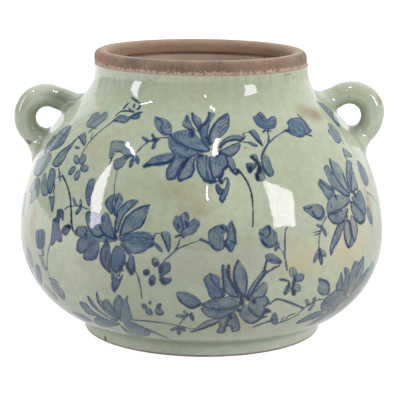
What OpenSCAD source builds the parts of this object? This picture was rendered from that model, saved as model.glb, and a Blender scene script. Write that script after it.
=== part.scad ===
// Ceramic flower pot: a round-bellied, glazed stoneware jar with a bare rolled
// rim, a turned foot and a rolled clay ear on each shoulder.
// Millimetres, +Z up, +X towards one ear, origin on the axis at the foot's face.
// The pot is thrown and luted from eight pieces of clay: a lower bowl and a
// shoulder joined at the girth, the floor, the foot ring, the neck collar,
// the rim band and two ears. Each piece is one solid here, and meets the next
// face to face.

/* [Overall] */
// Height from the standing face to the crest of the rim
pot_h = 200; // [192:1:212]
// Outer radius at the girth, the widest level
girth_r = 129; // [121:1:139]
// Height of the girth above the standing face
girth_z = 70; // [66:1:76]
// Thickness of the clay wall, square to its face
wall = 8; // [6:0.5:9]

/* [Body curve] */
// Height of the bowl's flat underside above the standing face
base_lift = 6.5; // [5:0.5:9]
// Height of the belly arc, as a share of the height from the girth to the neck
belly_share = 0.455; // [0.38:0.005:0.52]
// Slope where the belly arc ends, as a share of the mean slope from there up
slope_share = 0.97; // [0.84:0.01:1.1]
// Radius of the hollow between the shoulder and the neck
neck_hollow = 28; // [22:1:32]

/* [Neck and rim] */
// Radius of the mouth, clear through the rim band
mouth_r = 64.5; // [60:0.5:70]
// How far the rim band overhangs the inside of the neck
rim_over = 2.5; // [0.5:0.5:4]
// Height of the straight stretch of neck under the rim band
neck_straight = 3; // [1:0.5:6]
// Height of the rim band
rim_h = 9.5; // [8:0.5:12]
// How far the rim band stands out past the neck
rim_proud = 0.6; // [0:0.1:1.5]
// Radius of the rolled edges along the top of the rim band
rim_roll = 4.5; // [2:0.25:5]

/* [Foot and drain] */
// Outer radius of the foot ring
foot_r = 84.5; // [78:0.5:90]
// Width of the foot ring
foot_w = 10.5; // [8:0.5:14]
// Radius of the wiped edges of the standing face
foot_round = 1.5; // [0.5:0.25:2.5]
// Radius of the drain hole through the floor
drain_r = 8; // [5:0.5:15]

/* [Ears] */
// Place of each ear on the shoulder arc, as a share of the arc from its foot
ear_share = 0.54; // [0.44:0.01:0.6]
// Distance from the shoulder's face out to the middle of the loop
ear_standoff = 6.2; // [5:0.1:9]
// Radius of the loop, to the middle of the clay roll
loop_r = 15.4; // [14:0.2:18]
// Radius of the clay roll round the loop
roll_r = 8.1; // [6.5:0.1:8.6]
// Radius of the roll where each end is pressed on the shoulder
root_r = 12.5; // [9:0.5:13.5]
// Sideways widening of the pressed ends, as a share of their radius
root_spread_share = 0.5; // [0:0.05:0.6]
// Distance along the shoulder from the loop up to the upper seat
seat_rise = 18.2; // [16:0.1:22]
// Distance along the shoulder from the loop down to the lower seat
seat_fall = 18.3; // [16:0.1:22]
// Depth of the upper seat behind the shoulder's face at the loop
upper_sink = 6.4; // [5:0.1:9]
// Depth of the lower seat behind the shoulder's face at the loop
lower_sink = 7.8; // [5:0.1:9]

/* [Hidden] */
$fn = 144;
// Steps along each arc of the outline, and round the ear's roll
arc_steps = 16;
roll_sides = 24;
arm_steps = 6;
loop_steps = 18;
// One overrun for every cut
over = 2;

glaze = [0.66, 0.71, 0.60];
clay = [0.54, 0.44, 0.37];

// Centres and radii of the outline's arcs, in the half plane [radius, height].
// The bowl arc ends flat under the floor and upright at the girth.
bowl_arc = girth_z - base_lift;
bowl_c = [girth_r - bowl_arc, girth_z];
// The neck's wall stands outside the mouth by the rim band's overhang.
neck_r = mouth_r + rim_over + wall;
neck_top_z = pot_h - rim_h;
// The hollow runs upright into the neck, so its centre lies level with the
// lower end of the straight stretch.
hollow_c = [neck_r + neck_hollow, neck_top_z - neck_straight];
// The belly arc starts upright at the girth and ends at its share of the slope.
rise = hollow_c[1] - girth_z;
shoulder_tilt = slope_share * atan2(girth_r - neck_r, rise);
tilt_dir = [cos(shoulder_tilt), sin(shoulder_tilt)];
belly_arc = belly_share * rise / tilt_dir[1];
belly_c = [girth_r - belly_arc, girth_z];
// The shoulder arc leaves the belly arc and meets the hollow without a kink:
// its radius follows from the distance between those two.
shoulder_start = belly_c + belly_arc * tilt_dir;
reach = hollow_c - shoulder_start;
shoulder_arc = (reach * reach - neck_hollow * neck_hollow) / (2 * (neck_hollow - reach * tilt_dir));
shoulder_c = shoulder_start - shoulder_arc * tilt_dir;
to_hollow = hollow_c - shoulder_c;
hollow_tilt = atan2(to_hollow[1], to_hollow[0]);

// Points along an arc about c from one angle to another
function arc(c, r, from, to, steps = arc_steps) =
    [for (i = [0:steps]) let (a = from + (to - from) * i / steps) c + r * [cos(a), sin(a)]];
function reversed(list) = [for (i = [len(list) - 1:-1:0]) list[i]];

// Stretches of the outline, each set back square to the outer face by inset
function bowl_line(inset) = arc(bowl_c, bowl_arc - inset, -90, 0);
function shoulder_line(inset) = concat(
    arc(belly_c, belly_arc - inset, 0, shoulder_tilt),
    arc(shoulder_c, shoulder_arc - inset, shoulder_tilt, hollow_tilt)
);
function neck_line(inset) = concat(
    arc(hollow_c, neck_hollow + inset, 180 + hollow_tilt, 180),
    [[neck_r - inset, neck_top_z]]
);

// A wall between the outer face and its inset copy, turned about the axis
module turned_wall(outer, inner) {
    rotate_extrude() polygon(concat(outer, reversed(inner)));
}

// Everything inside the outer face, which trims whatever is luted on outside
module pot_mass() {
    rotate_extrude() polygon(concat(
        [[0, base_lift]],
        bowl_line(0),
        shoulder_line(0),
        neck_line(0),
        [[0, neck_top_z]]
    ));
}

module lower_bowl() {
    color(glaze) turned_wall(bowl_line(0), bowl_line(wall));
}

module shoulder() {
    color(glaze) turned_wall(shoulder_line(0), shoulder_line(wall));
}

module neck_collar() {
    color(glaze) turned_wall(neck_line(0), neck_line(wall));
}

// The floor closes the flat middle of the bowl, with one drain hole
module base_floor() {
    color(clay) translate([0, 0, base_lift]) difference() {
        cylinder(h = wall, r = bowl_c[0]);
        translate([0, 0, -over]) cylinder(h = wall + 2 * over, r = drain_r);
    }
}

// The foot ring is turned with wiped lower edges, and its top takes the bowl
module foot_ring() {
    foot_in = foot_r - foot_w;
    color(clay) difference() {
        rotate_extrude() polygon(concat(
            arc([foot_in + foot_round, foot_round], foot_round, 180, 270),
            arc([foot_r - foot_round, foot_round], foot_round, -90, 0),
            [[foot_r, bowl_c[1]], [foot_in, bowl_c[1]]]
        ));
        pot_mass();
    }
}

// The rim band overhangs the neck's inner wall and is rolled along its top
module rim_band() {
    band_r = neck_r + rim_proud;
    roll_z = pot_h - rim_roll;
    color(clay) rotate_extrude() polygon(concat(
        [[mouth_r, neck_top_z], [band_r, neck_top_z]],
        arc([band_r - rim_roll, roll_z], rim_roll, 0, 90),
        arc([mouth_r + rim_roll, roll_z], rim_roll, 90, 180)
    ));
}

// The ear stands square on the shoulder: its loop's middle and its two seats are
// set out from one point of the shoulder arc, along and behind the face there.
ear_tilt = shoulder_tilt + ear_share * (hollow_tilt - shoulder_tilt);
ear_out = [cos(ear_tilt), sin(ear_tilt)];
ear_up = [-sin(ear_tilt), cos(ear_tilt)];
ear_foot = shoulder_c + shoulder_arc * ear_out;
loop_c = ear_foot + ear_standoff * ear_out;
upper_seat = ear_foot + seat_rise * ear_up - upper_sink * ear_out;
lower_seat = ear_foot - seat_fall * ear_up - lower_sink * ear_out;

// Each arm leaves the loop along a tangent that ends at its seat. The angle is
// that of the point where it leaves, counted about the middle of the loop.
function leave_angle(s, turn) = let (d = s - loop_c)
    atan2(d[1], d[0]) + turn * acos(loop_r / norm(d));
upper_leave = leave_angle(upper_seat, -1);
lower_leave = leave_angle(lower_seat, 1);
function on_loop(a) = loop_c + loop_r * [cos(a), sin(a)];

// Stations down the ear: [middle of the roll, angle of its outward side, flare]
function arm_station(s, a, t) = [on_loop(a) + (s - on_loop(a)) * t, a, t * t];
function full_turn(a) = a > 180 ? a - 360 : a;
ear_stations = let (a0 = full_turn(upper_leave), a1 = full_turn(lower_leave)) concat(
    [for (i = [arm_steps:-1:1]) arm_station(upper_seat, a0, i / arm_steps)],
    [for (i = [0:loop_steps]) let (a = a0 + (a1 - a0) * i / loop_steps) [on_loop(a), a, 0]],
    [for (i = [1:arm_steps]) arm_station(lower_seat, a1, i / arm_steps)]
);

// The ring of points round the roll at one station
function roll_ring(st) = let (
    r = roll_r + (root_r - roll_r) * st[2],
    side = r + r * root_spread_share * st[2]
) [for (j = [0:roll_sides - 1]) let (
    f = 360 * j / roll_sides,
    out = st[0] + r * cos(f) * [cos(st[1]), sin(st[1])]
) [out[0], side * sin(f), out[1]]];

// A clay roll swept through all stations and trimmed by the pot's outer face
module ear() {
    rings = [for (st = ear_stations) roll_ring(st)];
    last = len(rings) - 1;
    ends = concat(
        [[for (j = [0:roll_sides - 1]) j]],
        [[for (j = [roll_sides - 1:-1:0]) last * roll_sides + j]]
    );
    skin = [for (i = [0:last - 1], j = [0:roll_sides - 1], half = [0, 1]) let (
        k = (j + 1) % roll_sides,
        a = i * roll_sides + j,
        b = i * roll_sides + k,
        c = a + roll_sides,
        d = b + roll_sides
    ) half == 0 ? [a, c, b] : [b, c, d]];
    difference() {
        polyhedron([for (ring = rings, p = ring) p], concat(ends, skin));
        pot_mass();
    }
}

module right_ear() {
    color(glaze) ear();
}

module left_ear() {
    color(glaze) mirror([1, 0, 0]) ear();
}

lower_bowl();
shoulder();
base_floor();
foot_ring();
neck_collar();
rim_band();
left_ear();
right_ear();
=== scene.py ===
"""Glazed stoneware flower pot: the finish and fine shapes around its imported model.

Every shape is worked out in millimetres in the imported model's frame, and each
finished mesh is scaled to metres as its last step. Angles round the pot are
counted from the front, the side that the camera faces, towards the right ear.
"""

import logging
import math
from dataclasses import dataclass, field
from enum import Enum

import bmesh
import bpy
import numpy as np
from mathutils import Matrix, Vector, noise


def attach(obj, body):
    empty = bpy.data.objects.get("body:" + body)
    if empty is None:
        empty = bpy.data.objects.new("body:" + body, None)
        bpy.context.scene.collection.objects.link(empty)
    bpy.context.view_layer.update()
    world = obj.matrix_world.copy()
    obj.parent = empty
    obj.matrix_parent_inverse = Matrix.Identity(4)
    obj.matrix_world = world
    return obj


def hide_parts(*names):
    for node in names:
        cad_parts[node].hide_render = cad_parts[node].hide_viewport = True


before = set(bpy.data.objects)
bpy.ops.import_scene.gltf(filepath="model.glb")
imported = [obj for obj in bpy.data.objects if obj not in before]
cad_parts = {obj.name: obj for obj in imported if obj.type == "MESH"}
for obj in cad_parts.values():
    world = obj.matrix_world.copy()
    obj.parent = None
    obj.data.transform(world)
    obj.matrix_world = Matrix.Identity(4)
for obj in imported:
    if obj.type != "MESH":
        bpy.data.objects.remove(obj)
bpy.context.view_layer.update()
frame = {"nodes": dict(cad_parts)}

LOG = logging.getLogger("flower_pot")
MM = 0.001

Pair = tuple[float, float]
Triple = tuple[float, float, float]
Section = tuple[float, float, float, float]
Band = tuple[float, float, float, float]
Colour = tuple[float, float, float, float]
Socket = bpy.types.NodeSocket
Source = bpy.types.NodeSocket | float | Colour

WHITE: Colour = (1.0, 1.0, 1.0, 1.0)


def srgb(code: str) -> Colour:
    """Returns the linear colour of a six-digit colour code."""
    parts = [int(code[i : i + 2], 16) / 255 for i in (0, 2, 4)]
    linear = [c / 12.92 if c <= 0.04045 else ((c + 0.055) / 1.055) ** 2.4 for c in parts]
    return (*linear, 1.0)


# ---------------------------------------------------------------- the outline


@dataclass(frozen=True)
class Arc:
    """One arc of the outline, in the half plane of radius and height.

    A hollow arc has its centre outside the clay, so its face looks towards it.
    """

    centre: Pair
    radius: float
    start: float
    end: float
    hollow: bool = False

    def length(self) -> float:
        """Returns the length of the outer face's arc."""
        return math.radians(abs(self.end - self.start)) * self.radius

    def at(self, share: float, inset: float = 0.0) -> Section:
        """Finds one point of the arc.

        Args:
            share: Place along the arc, from 0 to 1.
            inset: Depth behind the outer face.

        Returns:
            Radius, height, and the outward normal's two parts.
        """
        angle = math.radians(self.start + (self.end - self.start) * share)
        side = -1.0 if self.hollow else 1.0
        reach = self.radius - side * inset
        radius = self.centre[0] + reach * math.cos(angle)
        height = self.centre[1] + reach * math.sin(angle)
        return radius, height, side * math.cos(angle), side * math.sin(angle)

    def line(self, step: float, inset: float = 0.0) -> list[Section]:
        """Returns points along the arc, about step apart, with their normals."""
        count = max(2, round(self.length() / step))
        return [self.at(i / count, inset) for i in range(count + 1)]

    def points(self, step: float) -> list[Pair]:
        """Returns the radius and height of points along the arc."""
        return [row[:2] for row in self.line(step)]


@dataclass
class JarOutline:
    """The pot's sizes and the arcs that they give, as in the part's source."""

    pot_h: float = 200.0
    girth_r: float = 129.0
    girth_z: float = 70.0
    wall: float = 8.0
    base_lift: float = 6.5
    belly_share: float = 0.455
    slope_share: float = 0.97
    neck_hollow: float = 28.0
    mouth_r: float = 64.5
    rim_over: float = 2.5
    neck_straight: float = 3.0
    rim_h: float = 9.5
    rim_proud: float = 0.6
    rim_roll: float = 4.5
    foot_r: float = 84.5
    foot_w: float = 10.5
    foot_round: float = 1.5
    drain_r: float = 8.0
    lean: float = -0.0122
    table_step: float = 0.25
    bowl: Arc = field(init=False)
    belly: Arc = field(init=False)
    shoulder: Arc = field(init=False)
    hollow: Arc = field(init=False)

    def __post_init__(self) -> None:
        """Works out the tangent arcs from the sizes."""
        self.neck_r = self.mouth_r + self.rim_over + self.wall
        self.neck_top = self.pot_h - self.rim_h
        bowl_r = self.girth_z - self.base_lift
        self.bowl = Arc((self.girth_r - bowl_r, self.girth_z), bowl_r, -90.0, 0.0)
        hollow_c = Vector((self.neck_r + self.neck_hollow, self.neck_top - self.neck_straight))
        rise = hollow_c.y - self.girth_z
        mean = math.degrees(math.atan2(self.girth_r - self.neck_r, rise))
        tilt = self.slope_share * mean
        tilt_dir = Vector((math.cos(math.radians(tilt)), math.sin(math.radians(tilt))))
        belly_r = self.belly_share * rise / tilt_dir.y
        belly_c = Vector((self.girth_r - belly_r, self.girth_z))
        start = belly_c + belly_r * tilt_dir
        reach = hollow_c - start
        spare = self.neck_hollow - reach.dot(tilt_dir)
        shoulder_r = (reach.length_squared - self.neck_hollow**2) / (2 * spare)
        shoulder_c = start - shoulder_r * tilt_dir
        to_hollow = hollow_c - shoulder_c
        turn = math.degrees(math.atan2(to_hollow.y, to_hollow.x))
        self.belly = Arc(tuple(belly_c), belly_r, 0.0, tilt)
        self.shoulder = Arc(tuple(shoulder_c), shoulder_r, tilt, turn)
        self.hollow = Arc(tuple(hollow_c), self.neck_hollow, 180.0 + turn, 180.0, hollow=True)
        # The wall passes into the floor over the middle of the foot ring.
        seam = self.foot_r - self.foot_w / 2 - self.bowl.centre[0]
        self.floor_turn = -math.degrees(math.acos(seam / bowl_r))
        self._tabulate()

    def _tabulate(self) -> None:
        arcs = (self.bowl, self.belly, self.shoulder, self.hollow)
        rows = [row for arc in arcs for row in arc.line(self.table_step)]
        rows.append((self.neck_r, self.neck_top, 1.0, 0.0))
        rows.append((self.neck_r, self.pot_h, 1.0, 0.0))
        table = np.array(rows)
        table = table[np.concatenate([[True], np.diff(table[:, 1]) > 1e-6])]
        steps = np.hypot(np.diff(table[:, 0]), np.diff(table[:, 1]))
        self.table = table
        self.along = np.concatenate([[0.0], np.cumsum(steps)])

    def middle_at(self, height: np.ndarray) -> np.ndarray:
        """Returns how far the lean moves the pot's middle along X at each height."""
        return self.lean * (height - self.pot_h / 2)

    def radius_at(self, height: np.ndarray) -> np.ndarray:
        """Returns the outer face's radius at each height."""
        return np.interp(height, self.table[:, 1], self.table[:, 0])

    def length_at(self, height: np.ndarray) -> np.ndarray:
        """Returns the length along the outer face up to each height."""
        return np.interp(height, self.table[:, 1], self.along)

    def normal_at(self, height: np.ndarray) -> tuple[np.ndarray, np.ndarray]:
        """Returns the outward normal's radial and upward part at each height."""
        radial = np.interp(height, self.table[:, 1], self.table[:, 2])
        upward = np.interp(height, self.table[:, 1], self.table[:, 3])
        size = np.hypot(radial, upward)
        return radial / size, upward / size


# ------------------------------------------------------------------ materials


@dataclass(frozen=True)
class Spot:
    """A mark by its middle and half sizes in millimetres; most are kiln marks and stains, some
    painted shade.
    """

    centre: Triple
    size: Triple
    colour: Colour
    strength: float = 0.9
    soft: bool = False


@dataclass(frozen=True)
class Cloud:
    """A noise, eased from start to end as it goes from low to high.

    The scale is per metre.
    """

    scale: float
    detail: float
    low: float
    high: float
    start: float = 0.0
    end: float = 1.0
    rough: float = 0.5


@dataclass(frozen=True)
class Relief:
    """A fine relief of the surface: a noise per metre, and its depth in metres."""

    scale: float
    detail: float
    depth: float


class Nodes:
    """Adds shader nodes to one material or world and wires them."""

    SOFT_EDGE: Pair = (0.1, 1.5)
    CRISP_EDGE: Pair = (0.5, 1.15)
    UNEVEN = Cloud(700.0, 3.0, 0.25, 0.75, -0.35, 0.35)

    def __init__(self, owner: bpy.types.ID) -> None:
        """Starts from an empty node tree."""
        owner.use_nodes = True
        self.tree = owner.node_tree
        self.tree.nodes.clear()

    def add(self, kind: str, inputs: dict | None = None, **settings: object) -> bpy.types.Node:
        """Adds one node.

        Args:
            kind: The node's type, without the ShaderNode in front.
            inputs: Values or sockets, by the input's name or place.
            settings: The node's own options.

        Returns:
            The new node.
        """
        node = self.tree.nodes.new("ShaderNode" + kind)
        for name, value in settings.items():
            setattr(node, name, value)
        for key, value in (inputs or {}).items():
            if isinstance(value, Socket):
                self.tree.links.new(value, node.inputs[key])
            else:
                node.inputs[key].default_value = value
        return node

    def place(self) -> Socket:
        """Returns the object coordinates."""
        return self.add("TexCoord").outputs["Object"]

    def part(self, place: Socket, axis: str) -> Socket:
        """Returns one coordinate of a place."""
        return self.add("SeparateXYZ", {"Vector": place}).outputs[axis]

    def stretch(self, place: Socket, factors: Triple) -> Socket:
        """Returns a place, each of its coordinates times a factor."""
        return self.add("VectorMath", {0: place, 1: factors}, operation="MULTIPLY").outputs[0]

    def length(self, place: Socket) -> Socket:
        """Returns how far a place is from the origin."""
        return self.add("VectorMath", {0: place}, operation="LENGTH").outputs["Value"]

    def stored(self, name: str, output: str = "Fac") -> Socket:
        """Returns what the mesh holds under a name at each vertex."""
        held = self.add("Attribute", attribute_name=name, attribute_type="GEOMETRY")
        return held.outputs[output]

    def noise(self, place: Socket, scale: float, detail: float, rough: float = 0.5) -> Socket:
        """Returns the height of a noise of the given scale per metre."""
        wired = {"Vector": place, "Scale": scale, "Detail": detail, "Roughness": rough}
        return self.add("TexNoise", wired).outputs["Fac"]

    def band(
        self, value: Source, low: float, high: float, start: float = 0.0, end: float = 1.0
    ) -> Socket:
        """Returns value eased from start to end as it goes from low to high."""
        wired = {"Value": value, "From Min": low, "From Max": high, "To Min": start, "To Max": end}
        node = self.add("MapRange", wired, interpolation_type="SMOOTHSTEP")
        return node.outputs["Result"]

    def rise(
        self, height: Source, low: float, high: float, start: float = 0.0, end: float = 1.0
    ) -> Socket:
        """Returns a height eased likewise, with low and high in millimetres."""
        return self.band(height, low * MM, high * MM, start, end)

    def cloud(self, place: Socket, cloud: Cloud) -> Socket:
        """Returns a noise, eased as the cloud says."""
        height = self.noise(place, cloud.scale, cloud.detail, cloud.rough)
        return self.band(height, cloud.low, cloud.high, cloud.start, cloud.end)

    def math(self, operation: str, first: Source, second: Source) -> Socket:
        """Returns the result of one sum."""
        return self.add("Math", {0: first, 1: second}, operation=operation).outputs[0]

    def times(self, first: Source, second: Source) -> Socket:
        """Returns the product of two values."""
        return self.math("MULTIPLY", first, second)

    def most(self, first: Source, second: Source) -> Socket:
        """Returns the larger of two values."""
        return self.math("MAXIMUM", first, second)

    def mix(self, share: Source, first: Source, second: Source) -> Socket:
        """Returns the mix of two colours."""
        wired = {"Fac": share, "Color1": first, "Color2": second}
        return self.add("MixRGB", wired).outputs["Color"]

    def shaded(self, tone: Source, value: Source) -> Socket:
        """Returns a colour made darker or lighter."""
        return self.add("HueSaturation", {"Value": value, "Color": tone}).outputs["Color"]

    def bump(self, height: Source, depth: float, below: Socket | None = None) -> Socket:
        """Returns the normal of a surface raised by height times depth, in metres."""
        wired = {"Height": height, "Distance": depth, "Strength": 1.0}
        if below is not None:
            wired["Normal"] = below
        return self.add("Bump", wired).outputs["Normal"]

    def relief(self, place: Socket, relief: Relief, below: Socket | None = None) -> Socket:
        """Returns the normal of a surface with one fine relief."""
        return self.bump(self.noise(place, relief.scale, relief.detail), relief.depth, below)

    def spotted(self, place: Socket, spots: tuple[Spot, ...], tone: Socket) -> Socket:
        """Returns a colour with small marks, some of them painted shade, laid over it."""
        for spot in spots:
            middle = tuple(c * MM for c in spot.centre)
            per_size = tuple(1.0 / (c * MM) for c in spot.size)
            away = self.add("VectorMath", {0: place, 1: middle}, operation="SUBTRACT").outputs[0]
            far = self.length(self.stretch(away, per_size))
            edge = self.SOFT_EDGE if spot.soft else self.CRISP_EDGE
            if not spot.soft:
                far = self.math("ADD", far, self.cloud(place, self.UNEVEN))
            tone = self.mix(self.band(far, *edge, spot.strength, 0.0), tone, spot.colour)
        return tone

    def surface(self, inputs: dict) -> None:
        """Ends the tree in one principled surface."""
        shader = self.add("BsdfPrincipled", inputs)
        self.add("OutputMaterial", {"Surface": shader.outputs["BSDF"]})


@dataclass(frozen=True)
class BareClay:
    """Unglazed fired clay: brown, flecked, matt, and redder where it is thin.

    With an edge_top its lower edge is ragged up to there: creamy outside
    edge_radius, and burnt inside it, where the face is painted paler as painted
    light. A painted highlight runs along the crest. All three are in millimetres.
    """

    name: str = "bare_clay"
    main: Colour = srgb("8E755D")
    dark: Colour = srgb("76624D")
    red: Colour = srgb("A1765E")
    fleck: Colour = srgb("B79A80")
    cream: Colour = srgb("D6C2AC")
    burnt: Colour = srgb("A8603F")
    roughness: float = 0.62
    spots: tuple[Spot, ...] = ()
    edge_top: float = 0.0
    edge_radius: float = 70.0
    edge_share: float = 0.9
    inside_painted_light: float = 0.45
    crest: float = 0.0
    crest_highlight: float = 0.18
    patches: Cloud = Cloud(38.0, 4.0, 0.42, 0.62)
    reddish: Cloud = Cloud(21.0, 5.0, 0.5, 0.7, 0.0, 0.75, rough=0.6)
    flecks: Cloud = Cloud(900.0, 2.0, 0.62, 0.72, 0.0, 0.6)
    grit: Cloud = Cloud(620.0, 3.0, 0.32, 0.4, 0.55, 0.0)
    wiped: Cloud = Cloud(330.0, 4.0, 0.3, 0.7, 0.92, 1.06, rough=0.6)
    wiped_upright: Triple = (1.0, 1.0, 0.22)
    mottled: Cloud = Cloud(170.0, 4.0, 0.3, 0.7, 0.86, 1.13, rough=0.6)
    ragged: Cloud = Cloud(420.0, 6.0, 0.25, 0.75, -0.0026, 0.0026, rough=0.75)
    grains: Cloud = Cloud(1100.0, 3.0, 0.4, 0.6, 0.0, 0.9, rough=0.6)
    broken: Cloud = Cloud(85.0, 3.0, 0.46, 0.58, 0.0, 0.7)
    grain: Relief = Relief(700.0, 4.0, 0.00018)
    waves: Relief = Relief(60.0, 2.0, 0.0008)

    def colour(self, nodes: Nodes, place: Socket) -> Socket:
        """Returns the clay's colour, for other finishes to show through."""
        tone = nodes.mix(nodes.cloud(place, self.patches), self.main, self.dark)
        tone = nodes.mix(nodes.cloud(place, self.reddish), tone, self.red)
        tone = nodes.mix(nodes.cloud(place, self.flecks), tone, self.fleck)
        tone = nodes.mix(nodes.cloud(place, self.grit), tone, self.dark)
        wiped = nodes.cloud(nodes.stretch(place, self.wiped_upright), self.wiped)
        tone = nodes.shaded(tone, nodes.times(wiped, nodes.cloud(place, self.mottled)))
        return nodes.spotted(place, self.spots, tone)

    def _edge(self, nodes: Nodes, place: Socket, tone: Socket) -> Socket:
        """Returns the clay with its ragged lower edge and its worn crest."""
        height = nodes.part(place, "Z")
        level = nodes.math("ADD", height, nodes.cloud(place, self.ragged))
        low = nodes.rise(level, self.edge_top - 0.8, self.edge_top + 0.4, 1.0, 0.0)
        radius = nodes.length(nodes.stretch(place, (1.0, 1.0, 0.0)))
        outside = nodes.rise(radius, self.edge_radius - 1.0, self.edge_radius + 1.0)
        # A painted highlight along the crest, paling it towards cream.
        worn = nodes.rise(height, self.crest - 0.9, self.crest - 0.1, 0.0, self.crest_highlight)
        tone = nodes.mix(worn, tone, self.cream)
        # Inside edge_radius the clay is painted paler, as painted light.
        lit = nodes.mix(nodes.band(outside, 0.0, 1.0, self.inside_painted_light, 0.0), tone, self.fleck)
        grains = nodes.cloud(place, self.grains)
        creamy = nodes.mix(grains, self.fleck, self.cream)
        scorched = nodes.mix(grains, self.red, self.burnt)
        low = nodes.times(low, nodes.most(nodes.cloud(place, self.broken), outside))
        edge = nodes.mix(outside, scorched, creamy)
        return nodes.mix(nodes.times(low, self.edge_share), lit, edge)

    def material(self) -> bpy.types.Material:
        """Builds the material."""
        material = bpy.data.materials.new(self.name)
        nodes = Nodes(material)
        place = nodes.place()
        tone = self.colour(nodes, place)
        if self.edge_top:
            tone = self._edge(nodes, place, tone)
        normal = nodes.relief(place, self.waves, nodes.relief(place, self.grain))
        nodes.surface({"Base Color": tone, "Roughness": self.roughness, "Normal": normal})
        return material


@dataclass(frozen=True)
class InnerGlaze:
    """The thin buff slip inside the pot.

    It carries a painted shadow in the undercut below the rim, between two heights in millimetres.
    """

    name: str = "inner_slip"
    main: Colour = srgb("D3BDA6")
    pale: Colour = srgb("E2D2BF")
    dark: Colour = srgb("A08A76")
    shade: Colour = srgb("4A3626")
    undercut: Band = (187.2, 188.4, 0.0, 0.6)
    roughness: float = 0.42
    patches: Cloud = Cloud(18.0, 4.0, 0.4, 0.62)
    specks: Cloud = Cloud(260.0, 4.0, 0.62, 0.7, 0.0, 0.7)
    waves: Relief = Relief(90.0, 3.0, 0.0008)

    def material(self) -> bpy.types.Material:
        """Builds the material."""
        material = bpy.data.materials.new(self.name)
        nodes = Nodes(material)
        place = nodes.place()
        tone = nodes.mix(nodes.cloud(place, self.patches), self.main, self.pale)
        tone = nodes.mix(nodes.cloud(place, self.specks), tone, self.dark)
        # Painted shadow under the rim's overhang.
        shade = nodes.rise(nodes.part(place, "Z"), *self.undercut)
        tone = nodes.mix(shade, tone, self.shade)
        normal = nodes.relief(place, self.waves)
        nodes.surface({"Base Color": tone, "Roughness": self.roughness, "Normal": normal})
        return material


class Brush(Enum):
    """Whether a glaze has brushwork under it."""

    NONE = "plain"
    COBALT = "painted"


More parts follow.
